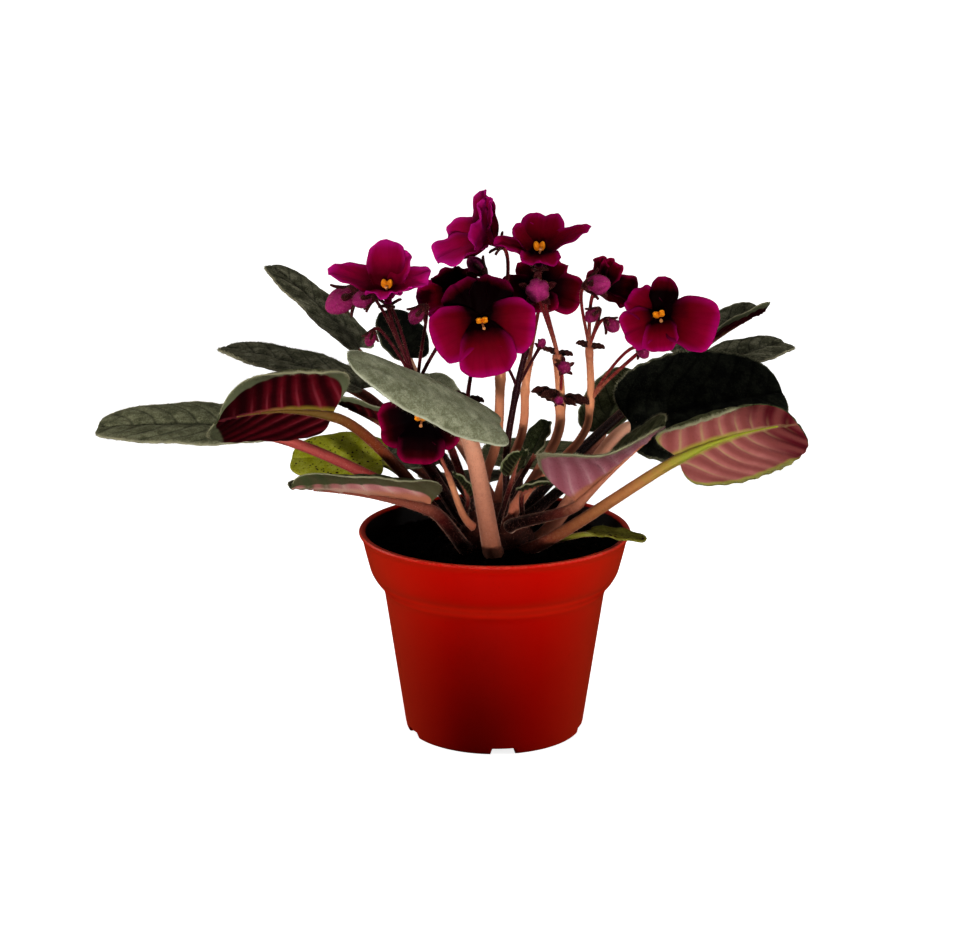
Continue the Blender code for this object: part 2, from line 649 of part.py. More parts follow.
def make_pot(collection, skin):
    """The pot: a tapered wall with a deep rim band, a notched foot and a floor with drain holes."""
    inner = POT_WALL
    outside = [
        (RIM_RADIUS - 0.0005, POT_HEIGHT),
        (RIM_RADIUS, POT_HEIGHT - 0.0008),
        (RIM_RADIUS - 0.0014, POT_HEIGHT - 0.0030),
        (RIM_RADIUS - 0.0028, POT_HEIGHT - 0.0090),
        (RIM_RADIUS - 0.0046, POT_HEIGHT - 0.0160),
        (RIM_RADIUS - 0.0066, POT_HEIGHT - 0.0190),
        (NECK_RADIUS + 0.0002, NECK_HEIGHT),
        (FOOT_RADIUS, 0.0008),
        (FOOT_RADIUS - 0.0006, 0),
    ]
    under = [
        (FOOT_RADIUS - FOOT_WIDTH, 0),
        (FOOT_RADIUS - FOOT_WIDTH, FLOOR_RISE),
        (MIDDLE_RADIUS + 0.003, FLOOR_RISE),
        (MIDDLE_RADIUS, 0),
        (0, 0),
    ]
    floor = [
        (0, inner),
        (MIDDLE_RADIUS - 0.0006, inner),
        (MIDDLE_RADIUS + 0.0024, FLOOR_RISE + inner),
        (pot_wall_radius(FLOOR_RISE + inner) - inner, FLOOR_RISE + inner),
    ]
    inside = [
        (pot_wall_radius(NECK_HEIGHT) - inner, NECK_HEIGHT + 0.0006),
        (RIM_RADIUS - 0.0066 - inner, POT_HEIGHT - 0.0178),
        (RIM_RADIUS - 0.0046 - inner, POT_HEIGHT - 0.0150),
        (RIM_RADIUS - 0.0028 - inner, POT_HEIGHT - 0.0090),
        (RIM_RADIUS - 0.0014 - inner, POT_HEIGHT),
    ]
    pot = turned("pot", outside + under + floor + inside + outside[:1], POT_SIDES, collection)
    cutters = []
    for i in range(NOTCHES):
        azimuth = FIRST_NOTCH + 360 / NOTCHES * i
        turn = Matrix.Rotation(math.radians(azimuth), 4, "Z")
        work = bmesh.new()
        bmesh.ops.create_cube(work, size=1, matrix=turn @ Matrix.Translation((FOOT_RADIUS - 0.001, 0, 0))
                              @ Matrix.Diagonal((0.008, NOTCH_WIDTH, NOTCH_HEIGHT * 2, 1)))
        mesh = bpy.data.meshes.new("notch")
        work.to_mesh(mesh)
        work.free()
        cutters.append(placed(f"notch_{i}", mesh, collection))
        hole = cone(f"drain_{i}", -0.002, 0.010, DRAIN_RADIUS, DRAIN_RADIUS, DRAIN_SIDES, collection)
        hole.data.transform(turn @ Matrix.Translation((DRAIN_RING, 0, 0)))
        cutters.append(hole)
    pot = combined(pot, cutters, "DIFFERENCE")
    pot.data.materials.append(skin)


def soil_wall(height):
    """The soil's radius against the pot's inner wall at a height."""
    if height <= NECK_HEIGHT:
        return pot_wall_radius(height) - POT_WALL - GAP
    return pot_wall_radius(NECK_HEIGHT) - POT_WALL - GAP


def make_soil(collection, skin):
    """The soil: it fills the pot to below the rim, with a lumpy top and a plain hole for the crown."""
    shoulder = POT_HEIGHT - 0.0150
    wide = RIM_RADIUS - 0.0046 - POT_WALL - GAP - 0.0002
    slope = (0.0046 - 0.0028) / 0.0060
    edge = wide + (SOIL_HEIGHT - shoulder) * slope
    bottom = FLOOR_RISE + POT_WALL + GAP
    rings = [edge * (i / SOIL_RINGS) for i in range(SOIL_RINGS + 1)]
    profile = [(r, SOIL_HEIGHT) for r in rings]
    profile += [
        (wide, shoulder),
        (soil_wall(NECK_HEIGHT), NECK_HEIGHT + 0.0009),
        (soil_wall(bottom), bottom),
        (MIDDLE_RADIUS + 0.0024, bottom),
        (0, bottom),
    ]
    soil = turned("potting_soil", profile, POT_SIDES, collection)
    for vertex in soil.data.vertices:
        x, y, z = vertex.co
        inset = 1 - math.hypot(x, y) / edge
        if z > SOIL_HEIGHT - 0.0005 and inset > 0.05:
            vertex.co.z += SOIL_LUMP * math.sin(210 * x + 1.3) * math.cos(240 * y - 0.4) - 0.0006 * inset
    hollow = turned("hollow", crown_profile(GAP + 0.00005), CROWN_SIDES, collection)
    soil = combined(soil, [hollow], "DIFFERENCE")
    soil.data.materials.append(skin)


def main():
    """Builds the pot, the soil and every piece of the plant."""
    for old in list(bpy.data.objects):
        bpy.data.objects.remove(old)
    collection = bpy.data.collections.new("potted_african_violet")
    bpy.context.scene.collection.children.link(collection)
    clay = material("clay_red_plastic", (0.62, 0.05, 0.02), 0.42)
    peat = material("peat", (0.020, 0.014, 0.010), 0.95)
    bark = material("crown_bark", (0.16, 0.06, 0.04), 0.8)
    green = material("leaf_green", (0.07, 0.11, 0.05), 0.7)
    yellow = material("leaf_yellow", (0.42, 0.42, 0.06), 0.7)
    wine = material("petal_wine", (0.36, 0.005, 0.11), 0.6)
    gold = material("anther_gold", (0.85, 0.33, 0.02), 0.6)
    rust = material("stalk_rust", (0.30, 0.08, 0.06), 0.6)
    make_pot(collection, clay)
    make_soil(collection, peat)
    crown = turned("crown", crown_profile(0), CROWN_SIDES, collection)
    crown.data.materials.append(bark)
    for leaf in LEAVES:
        make_leaf(leaf, collection, yellow if "yellow" in leaf.name else green)
    for bloom in BLOOMS:
        make_bloom(bloom, collection, wine, gold)
    for stalk in STALKS:
        make_stalk(stalk, collection, rust)
    for made in collection.objects:
        made.data.shade_smooth()
        made.data.set_sharp_from_angle(angle=math.radians(SHARP_ANGLE))


main()
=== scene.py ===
"""Potted African violet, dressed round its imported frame: pot, soil, crown, leaves, flowers and stalks.

Metres and degrees throughout, +Z up. The origin is the middle of the pot's underside, and the plant is
seen from -Y. An azimuth is measured from +X towards +Y.
"""

import functools
import logging
import math
from collections.abc import Callable, Sequence
from dataclasses import dataclass
from enum import Enum
from typing import Protocol

import bpy
import numpy as np
from mathutils import Matrix, Vector


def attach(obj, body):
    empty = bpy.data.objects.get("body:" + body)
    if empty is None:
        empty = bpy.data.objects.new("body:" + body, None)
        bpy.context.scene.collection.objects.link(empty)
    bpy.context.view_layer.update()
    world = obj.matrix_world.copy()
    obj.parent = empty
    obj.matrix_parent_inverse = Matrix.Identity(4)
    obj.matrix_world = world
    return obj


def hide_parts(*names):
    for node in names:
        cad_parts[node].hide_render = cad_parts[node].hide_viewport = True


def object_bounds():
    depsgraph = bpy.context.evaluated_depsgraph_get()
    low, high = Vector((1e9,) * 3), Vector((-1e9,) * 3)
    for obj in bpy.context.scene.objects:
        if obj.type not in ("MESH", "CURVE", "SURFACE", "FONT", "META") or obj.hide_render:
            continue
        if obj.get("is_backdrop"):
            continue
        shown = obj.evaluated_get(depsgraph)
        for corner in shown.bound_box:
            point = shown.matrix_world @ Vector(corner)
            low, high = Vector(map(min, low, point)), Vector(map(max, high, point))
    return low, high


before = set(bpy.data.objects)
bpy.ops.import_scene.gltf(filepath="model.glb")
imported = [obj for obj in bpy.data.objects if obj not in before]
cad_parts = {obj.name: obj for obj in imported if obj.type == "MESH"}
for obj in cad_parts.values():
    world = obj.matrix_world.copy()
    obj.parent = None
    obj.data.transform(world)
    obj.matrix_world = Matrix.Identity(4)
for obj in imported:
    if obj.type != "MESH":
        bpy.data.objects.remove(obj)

log = logging.getLogger("violet")

Piece = bpy.types.Object
Array = np.ndarray
Spot = tuple[float, float, float]
Pair = tuple[float, float]
Marks = dict[str, Array]
Shaped = tuple[Array, Marks]
Faces = tuple[Array, Array, Marks]
Form = tuple[Array, list[list[int]]]
Shape = Callable[[Array, Array], Shaped]
Relief = Callable[[Array, Array, Array], Faces]

WELD = 1e-6

# Marks that the meshes carry for their finishes.
ALONG = "along"  # how far from the foot to the tip
RIM = "rim"  # 0 in the middle, 1 at the edge
VEIN = "vein"  # whole numbers lie on the side veins
RIB = "rib"  # distance from the midrib, in rib widths
TONE = "tone"  # a chance value for each repeat, or a darker part
FLAT_X, FLAT_Y = "flat_x", "flat_y"  # where a blade's vertex is on its flat sheet, in metres


def linear(code: str) -> tuple[float, float, float, float]:
    """Turns an sRGB hex colour to linear light.

    Args:
        code: The colour, such as "#9C1A10".

    Returns:
        Red, green, blue and a full alpha.
    """
    parts = [int(code[i:i + 2], 16) / 255 for i in (1, 3, 5)]
    red, green, blue = (c / 12.92 if c <= 0.04045 else ((c + 0.055) / 1.055) ** 2.4 for c in parts)
    return red, green, blue, 1.0


def per_mm(size: float) -> float:
    """The scale of a pattern on Object coordinates whose features are this many millimetres across."""
    return 1000 / size


def add_node(tree: bpy.types.NodeTree, kind: str, settings: dict | None = None,
             inputs: dict | None = None) -> bpy.types.Node:
    """Adds a node with its settings and links.

    Args:
        tree: The material's nodes.
        kind: Blender's name for the node.
        settings: The node's own properties. "stops" are a ramp's places and hex colours.
        inputs: A value, or the output to link, for each input by name or number.

    Returns:
        The new node.
    """
    made = tree.nodes.new(kind)
    for name, value in (settings or {}).items():
        if name == "stops":
            ramp = made.color_ramp.elements
            while len(ramp) < len(value):
                ramp.new(1.0)
            for stop, (place, colour) in zip(ramp, value):
                stop.position, stop.color = place, linear(colour)
        else:
            setattr(made, name, value)
    for name, value in (inputs or {}).items():
        if isinstance(value, bpy.types.NodeSocket):
            tree.links.new(value, made.inputs[name])
        else:
            made.inputs[name].default_value = value
    return made


def blank_material(name: str,
                   shader: dict) -> tuple[bpy.types.Material, bpy.types.NodeTree, bpy.types.Node]:
    """Makes a material with one Principled shader.

    Args:
        name: The finish's name.
        shader: The shader's values that are the same all over.

    Returns:
        The material, its nodes and its shader.
    """
    material = bpy.data.materials.new(name)
    material.use_nodes = True
    tree = material.node_tree
    principled = tree.nodes["Principled BSDF"]
    for socket, value in shader.items():
        principled.inputs[socket].default_value = value
    return material, tree, principled


class Finish(Protocol):
    """A real surface, whose material is built once, when a piece first needs it."""

    def material(self) -> bpy.types.Material:
        """The material."""


@dataclass(frozen=True)
class MouldedPolypropylene:
    """Injection-moulded polypropylene: a satin skin, even in colour, paler where the lip is scuffed.

    A painted sheen makes it paler where it is seen edge-on, and painted light brightens the step
    where it would lie in shade. The paler specks at the lip are scuffs and a painted highlight.

    Inside, painted shade makes its wall near black from just under the lip.
    """

    name: str = "moulded_polypropylene"
    body: str = "#D20E00"
    shade: str = "#BC0A00"
    # Paler specks at the lip: scuffs, and a painted highlight.
    scuff_and_highlight: str = "#D8604A"
    # The bloom colour is a painted sheen: the paler colour where the pot is seen edge-on.
    bloom: str = "#D8542C"
    # Painted light: the brighter red on the step under the rim band, which would lie in shade.
    step_light: str = "#FF2A10"
    # Painted shade for the inner wall above the soil.
    inner_shade_colour: str = "#020000"
    grain: float = 0.35  # mm, the mould's fine texture

    @functools.cache
    def material(self) -> bpy.types.Material:
        """Builds the material."""
        made, tree, shader = blank_material(self.name, {
            "IOR": 1.49, "Specular IOR Level": 0.10})
        place = add_node(tree, "ShaderNodeTexCoord").outputs["Object"]
        clouds = add_node(tree, "ShaderNodeTexNoise", None,
                          {"Vector": place, "Scale": per_mm(38), "Detail": 3.0, "Roughness": 0.6})
        body = add_node(tree, "ShaderNodeMix", {"data_type": "RGBA"},
                        {0: clouds.outputs["Fac"], 6: linear(self.shade), 7: linear(self.body)})
        # Painted sheen: paler where the pot is seen edge-on.
        slant = add_node(tree, "ShaderNodeLayerWeight", None, {"Blend": 0.35})
        edge_sheen = add_node(tree, "ShaderNodeMapRange", None,
                        {0: slant.outputs["Facing"], 1: 0.15, 2: 0.85, 4: 0.55})
        edge_sheened = add_node(tree, "ShaderNodeMix", {"data_type": "RGBA"},
                         {0: edge_sheen.outputs[0], 6: body.outputs[2], 7: linear(self.bloom)})
        # The lip is paler in specks: scuffs, and a painted highlight.
        lip_scuff_and_highlight = add_node(tree, "ShaderNodeAttribute", {"attribute_name": RIM})
        specks = add_node(tree, "ShaderNodeTexNoise", None,
                          {"Vector": place, "Scale": per_mm(1.2), "Detail": 4.0, "Roughness": 0.7})
        rubbed = add_node(tree, "ShaderNodeMapRange", None, {0: specks.outputs["Fac"], 1: 0.35, 2: 0.7})
        amount = add_node(tree, "ShaderNodeMath", {"operation": "MULTIPLY"},
                          {0: lip_scuff_and_highlight.outputs["Fac"], 1: rubbed.outputs[0]})
        # Painted light makes the step under the rim band brighter, where it would lie in shade.
        thin = add_node(tree, "ShaderNodeAttribute", {"attribute_name": VEIN})
        step_lit = add_node(tree, "ShaderNodeMix", {"data_type": "RGBA"},
                           {0: thin.outputs["Fac"], 6: edge_sheened.outputs[2], 7: linear(self.step_light)})
        colour = add_node(tree, "ShaderNodeMix", {"data_type": "RGBA"},
                          {0: amount.outputs[0], 6: step_lit.outputs[2], 7: linear(self.scuff_and_highlight)})
        # Painted shade: the inner wall goes near black from just under the lip, in blotches.
        inner_depth = add_node(tree, "ShaderNodeAttribute", {"attribute_name": TONE})
        inner_blotches = add_node(tree, "ShaderNodeMath", {"operation": "MULTIPLY_ADD", "use_clamp": True},
                         {0: specks.outputs["Fac"], 1: 0.5, 2: inner_depth.outputs["Fac"]})
        painted_inner_shade = add_node(tree, "ShaderNodeMapRange", None, {0: inner_blotches.outputs[0], 1: 0.3, 2: 0.8, 4: 0.99})
        inner_shaded = add_node(tree, "ShaderNodeMix", {"data_type": "RGBA"},
                         {0: painted_inner_shade.outputs[0], 6: colour.outputs[2], 7: linear(self.inner_shade_colour)})
        tree.links.new(inner_shaded.outputs[2], shader.inputs["Base Color"])
        grain = add_node(tree, "ShaderNodeTexNoise", None,
                         {"Vector": place, "Scale": per_mm(self.grain), "Detail": 2.0})
        gloss = add_node(tree, "ShaderNodeMapRange", None, {0: clouds.outputs["Fac"], 3: 0.34, 4: 0.48})
        tree.links.new(gloss.outputs[0], shader.inputs["Roughness"])
        bump = add_node(tree, "ShaderNodeBump", None,
                        {"Strength": 0.12, "Distance": 0.0001, "Height": grain.outputs["Fac"]})
        tree.links.new(bump.outputs[0], shader.inputs["Normal"])
        return made


@dataclass(frozen=True)
class DampPeat:
    """Damp peat compost: almost black, broken into crumbs, with a few brown fibres that catch the light."""

    name: str = "damp_peat"
    # The dark and brown colours are the peat's own, made darker still as painted shade for the inside of the
    # pot.
    dark: str = "#020101"
    brown: str = "#080403"
    fibre: str = "#4E382C"
    crumb: float = 1.6  # mm across

    @functools.cache
    def material(self) -> bpy.types.Material:
        """Builds the material."""
        made, tree, shader = blank_material(self.name, {"Roughness": 0.85, "IOR": 1.4,
                                                        "Specular IOR Level": 0.04})
        place = add_node(tree, "ShaderNodeTexCoord").outputs["Object"]
        lumps = add_node(tree, "ShaderNodeTexNoise", None,
                         {"Vector": place, "Scale": per_mm(self.crumb), "Detail": 6.0, "Roughness": 0.7})
        earth = add_node(tree, "ShaderNodeValToRGB",
                         {"stops": [(0.35, self.dark), (0.62, self.brown), (0.78, self.fibre)]},
                         {"Fac": lumps.outputs["Fac"]})
        chance = add_node(tree, "ShaderNodeAttribute", {"attribute_name": TONE})
        lighter = add_node(tree, "ShaderNodeMapRange", None, {0: chance.outputs["Fac"], 1: 0.80, 2: 1.0,
                                                              3: 0.0, 4: 0.7})
        colour = add_node(tree, "ShaderNodeMix", {"data_type": "RGBA"},
                          {0: lighter.outputs[0], 6: earth.outputs[0], 7: linear(self.fibre)})
        tree.links.new(colour.outputs[2], shader.inputs["Base Color"])
        fine = add_node(tree, "ShaderNodeTexNoise", None,
                        {"Vector": place, "Scale": per_mm(0.7), "Detail": 5.0, "Roughness": 0.75})
        bump = add_node(tree, "ShaderNodeBump", None,
                        {"Strength": 0.9, "Distance": 0.0006, "Height": fine.outputs["Fac"]})
        tree.links.new(bump.outputs[0], shader.inputs["Normal"])
        return made


@dataclass(frozen=True)
class LeafFace:
    """The upper skin of a leaf: quilted between sunken veins, and silvered by short down."""

    name: str
    deep: str  # in the grooves
    body: str
    down: str  # where the down lies thickest
    rim: str
    sheen: float = 0.6
    spots: str | None = None
    groove: float = 0.62  # how dark the sunken veins are

    @functools.cache
    def material(self) -> bpy.types.Material:
        """Builds the material."""
        made, tree, shader = blank_material(self.name, {
            "Roughness": 0.78, "IOR": 1.4, "Specular IOR Level": 0.05, "Sheen Weight": self.sheen,
            "Sheen Roughness": 0.35, "Sheen Tint": linear(self.rim)})
        place = add_node(tree, "ShaderNodeTexCoord").outputs["Object"]
        quilt = add_node(tree, "ShaderNodeTexNoise", None,
                         {"Vector": place, "Scale": per_mm(5.0), "Detail": 8.0, "Roughness": 0.72})
        down = add_node(tree, "ShaderNodeTexNoise", None,
                        {"Vector": place, "Scale": per_mm(0.5), "Detail": 3.0, "Roughness": 0.7})
        mottled = add_node(tree, "ShaderNodeMath", {"operation": "MULTIPLY_ADD"},
                           {0: down.outputs["Fac"], 1: 0.62, 2: quilt.outputs["Fac"]})
        skin = add_node(tree, "ShaderNodeValToRGB",
                        {"stops": [(0.42, self.deep), (0.74, self.body), (1.0, self.down)]},
                        {"Fac": mottled.outputs[0]})
        vein = add_node(tree, "ShaderNodeAttribute", {"attribute_name": VEIN})
        away = add_node(tree, "ShaderNodeMath", {"operation": "PINGPONG"}, {0: vein.outputs["Fac"], 1: 0.5})
        groove = add_node(tree, "ShaderNodeMapRange", {"interpolation_type": "SMOOTHSTEP"},
                          {0: away.outputs[0], 1: 0.0, 2: 0.13, 3: self.groove, 4: 0.0})
        rib = add_node(tree, "ShaderNodeAttribute", {"attribute_name": RIB})
        channel = add_node(tree, "ShaderNodeMapRange", {"interpolation_type": "SMOOTHSTEP"},
                           {0: rib.outputs["Fac"], 1: 0.0, 2: 1.4, 3: self.groove, 4: 0.0})
        sunk = add_node(tree, "ShaderNodeMath", {"operation": "MAXIMUM"},
                        {0: groove.outputs[0], 1: channel.outputs[0]})
        veined = add_node(tree, "ShaderNodeMix", {"data_type": "RGBA"},
                          {0: sunk.outputs[0], 6: skin.outputs[0], 7: linear(self.deep)})
        colour = veined.outputs[2]
        if self.spots:
            cells = add_node(tree, "ShaderNodeTexVoronoi", None, {"Vector": place, "Scale": per_mm(1.7)})
            patch = add_node(tree, "ShaderNodeTexNoise", None,
                             {"Vector": place, "Scale": per_mm(9), "Detail": 1.0})
            near = add_node(tree, "ShaderNodeMath", {"operation": "MULTIPLY_ADD"},
                            {0: patch.outputs["Fac"], 1: -0.75, 2: cells.outputs["Distance"]})
            freckle = add_node(tree, "ShaderNodeMapRange", None,
                               {0: near.outputs[0], 1: -0.20, 2: -0.12, 3: 1.0, 4: 0.0})
            dotted = add_node(tree, "ShaderNodeMix", {"data_type": "RGBA"},
                              {0: freckle.outputs[0], 6: colour, 7: linear(self.spots)})
            colour = dotted.outputs[2]
        edge = add_node(tree, "ShaderNodeAttribute", {"attribute_name": RIM})
        border = add_node(tree, "ShaderNodeMapRange", {"interpolation_type": "SMOOTHSTEP"},
                          {0: edge.outputs["Fac"], 1: 0.93, 2: 1.0, 3: 0.0, 4: 0.75})
        edged = add_node(tree, "ShaderNodeMix", {"data_type": "RGBA"},
                         {0: border.outputs[0], 6: colour, 7: linear(self.rim)})
        tree.links.new(edged.outputs[2], shader.inputs["Base Color"])
        pebbles = add_node(tree, "ShaderNodeTexVoronoi", {"feature": "SMOOTH_F1"},
                           {"Vector": place, "Scale": per_mm(2.0), "Smoothness": 0.6})
        coarse = add_node(tree, "ShaderNodeBump", {"invert": True},
                          {"Strength": 0.4, "Distance": 0.0004, "Height": pebbles.outputs["Distance"]})
        bump = add_node(tree, "ShaderNodeBump", None,
                        {"Strength": 0.5, "Distance": 0.0003, "Height": down.outputs["Fac"],
                         "Normal": coarse.outputs[0]})
        tree.links.new(bump.outputs[0], shader.inputs["Normal"])
        return made


@dataclass(frozen=True)
class LeafUnderside:
    """The under skin of a leaf: flushed with red between raised veins, with a bright midrib."""

    name: str
    flush: str  # between the veins
    deep: str  # in the hollows beside them
    tip: str
    vein: str
    midrib: str
    rim: str
    sheen: float = 0.45
    border: float = 0.87  # where the green rim starts, against the half width

    @functools.cache
    def material(self) -> bpy.types.Material:
        """Builds the material."""
        made, tree, shader = blank_material(self.name, {
            "Roughness": 0.62, "IOR": 1.4, "Specular IOR Level": 0.06, "Sheen Weight": self.sheen,
            "Sheen Roughness": 0.35, "Sheen Tint": linear(self.vein)})
        place = add_node(tree, "ShaderNodeTexCoord").outputs["Object"]
        clouds = add_node(tree, "ShaderNodeTexNoise", None,
                          {"Vector": place, "Scale": per_mm(6.0), "Detail": 5.0, "Roughness": 0.6})
        along = add_node(tree, "ShaderNodeAttribute", {"attribute_name": ALONG})
        vein = add_node(tree, "ShaderNodeAttribute", {"attribute_name": VEIN})
        away = add_node(tree, "ShaderNodeMath", {"operation": "PINGPONG"}, {0: vein.outputs["Fac"], 1: 0.5})
        body = add_node(tree, "ShaderNodeMix", {"data_type": "RGBA"},
                        {0: clouds.outputs["Fac"], 6: linear(self.deep), 7: linear(self.flush)})
        outward = add_node(tree, "ShaderNodeMapRange", {"interpolation_type": "SMOOTHSTEP"},
                           {0: along.outputs["Fac"], 1: 0.5, 2: 0.88, 3: 0.0, 4: 1.0})
        flushed = add_node(tree, "ShaderNodeMix", {"data_type": "RGBA"},
                           {0: outward.outputs[0], 6: body.outputs[2], 7: linear(self.tip)})
        hollow = add_node(tree, "ShaderNodeMapRange", {"interpolation_type": "SMOOTHSTEP"},
                          {0: away.outputs[0], 1: 0.08, 2: 0.44, 3: 0.0, 4: 0.8})
        hollowed = add_node(tree, "ShaderNodeMix", {"data_type": "RGBA"},
                            {0: hollow.outputs[0], 6: flushed.outputs[2], 7: linear(self.deep)})
        rib = add_node(tree, "ShaderNodeAttribute", {"attribute_name": RIB})
        reach = add_node(tree, "ShaderNodeMapRange", {"interpolation_type": "SMOOTHSTEP"},
                         {0: rib.outputs["Fac"], 1: 1.5, 2: 10.0, 3: 0.7, 4: 0.1})
        line = add_node(tree, "ShaderNodeMapRange", {"interpolation_type": "SMOOTHSTEP"},
                        {0: away.outputs[0], 1: 0.0, 2: 0.14, 3: 0.8, 4: 0.0})
        paler = add_node(tree, "ShaderNodeMapRange", None, {0: outward.outputs[0], 3: 1.0, 4: 0.25})
        seen = add_node(tree, "ShaderNodeMath", {"operation": "MULTIPLY"},
                        {0: paler.outputs[0], 1: reach.outputs[0]})
        raised = add_node(tree, "ShaderNodeMath", {"operation": "MULTIPLY"},
                          {0: line.outputs[0], 1: seen.outputs[0]})
        veined = add_node(tree, "ShaderNodeMix", {"data_type": "RGBA"},
                          {0: raised.outputs[0], 6: hollowed.outputs[2], 7: linear(self.vein)})
        spine = add_node(tree, "ShaderNodeMapRange", {"interpolation_type": "SMOOTHSTEP"},
                         {0: rib.outputs["Fac"], 1: 0.5, 2: 1.5, 3: 1.0, 4: 0.0})
        fading = add_node(tree, "ShaderNodeMapRange", {"interpolation_type": "SMOOTHSTEP"},
                          {0: along.outputs["Fac"], 1: 0.25, 2: 0.85, 3: 0.0, 4: 1.0})
        rib_colour = add_node(tree, "ShaderNodeMix", {"data_type": "RGBA"},
                              {0: fading.outputs[0], 6: linear(self.midrib), 7: linear(self.vein)})
        sinking = add_node(tree, "ShaderNodeMapRange", {"interpolation_type": "SMOOTHSTEP"},
                           {0: along.outputs["Fac"], 1: 0.4, 2: 0.9, 3: 1.0, 4: 0.3})
        ridge = add_node(tree, "ShaderNodeMath", {"operation": "MULTIPLY"},
                         {0: spine.outputs[0], 1: sinking.outputs[0]})
        ribbed = add_node(tree, "ShaderNodeMix", {"data_type": "RGBA"},
                          {0: ridge.outputs[0], 6: veined.outputs[2], 7: rib_colour.outputs[2]})
        edge = add_node(tree, "ShaderNodeAttribute", {"attribute_name": RIM})
        border = add_node(tree, "ShaderNodeMapRange", {"interpolation_type": "SMOOTHSTEP"},
                          {0: edge.outputs["Fac"], 1: self.border, 2: self.border + 0.07, 3: 0.0, 4: 0.92})
        edged = add_node(tree, "ShaderNodeMix", {"data_type": "RGBA"},
                         {0: border.outputs[0], 6: ribbed.outputs[2], 7: linear(self.rim)})
        tree.links.new(edged.outputs[2], shader.inputs["Base Color"])
        net = add_node(tree, "ShaderNodeTexVoronoi", {"feature": "SMOOTH_F1"},
                       {"Vector": place, "Scale": per_mm(1.6), "Smoothness": 0.5})
        bump = add_node(tree, "ShaderNodeBump", None,
                        {"Strength": 0.35, "Distance": 0.0003, "Height": net.outputs["Distance"]})
        tree.links.new(bump.outputs[0], shader.inputs["Normal"])
        return made


SHADED_WINE = "#160605"  # painted shade where every stalk leaves the crown


@dataclass(frozen=True)
class StalkSkin:
    """The smooth, juicy skin of a stalk: it changes colour from its foot to its tip, with fine streaks."""

    name: str
    foot: str
    middle: str
    tip: str
    shaded: float = 0.38  # how far up it the painted shade of the crown reaches
    fuzz: float = 0.4  # how brightly its down shows at a grazing view

    @functools.cache
    def material(self) -> bpy.types.Material:
        """Builds the material."""
        made, tree, shader = blank_material(self.name, {
            "Roughness": 0.5, "IOR": 1.4, "Specular IOR Level": 0.12, "Sheen Weight": self.fuzz,
            "Sheen Roughness": 0.3, "Sheen Tint": linear("#F0C0A8")})
        place = add_node(tree, "ShaderNodeTexCoord").outputs["Object"]
        along = add_node(tree, "ShaderNodeAttribute", {"attribute_name": ALONG})
        streaks = add_node(tree, "ShaderNodeTexNoise", None,
                           {"Vector": place, "Scale": per_mm(1.5), "Detail": 4.0, "Roughness": 0.6})
        shifted = add_node(tree, "ShaderNodeMath", {"operation": "MULTIPLY_ADD"},
                           {0: streaks.outputs["Fac"], 1: 0.26, 2: along.outputs["Fac"]})
        # Painted shade: SHADED_WINE and the foot colour darken the stalk where it leaves the crown.
        colour = add_node(tree, "ShaderNodeValToRGB",
                          {"stops": [(max(self.shaded - 0.2, 0), SHADED_WINE), (self.shaded, self.foot),
                                     (0.72, self.middle), (1.0, self.tip)]}, {"Fac": shifted.outputs[0]})
        tree.links.new(colour.outputs[0], shader.inputs["Base Color"])
        bump = add_node(tree, "ShaderNodeBump", None,
                        {"Strength": 0.3, "Distance": 0.0003, "Height": streaks.outputs["Fac"]})
        tree.links.new(bump.outputs[0], shader.inputs["Normal"])
        return made


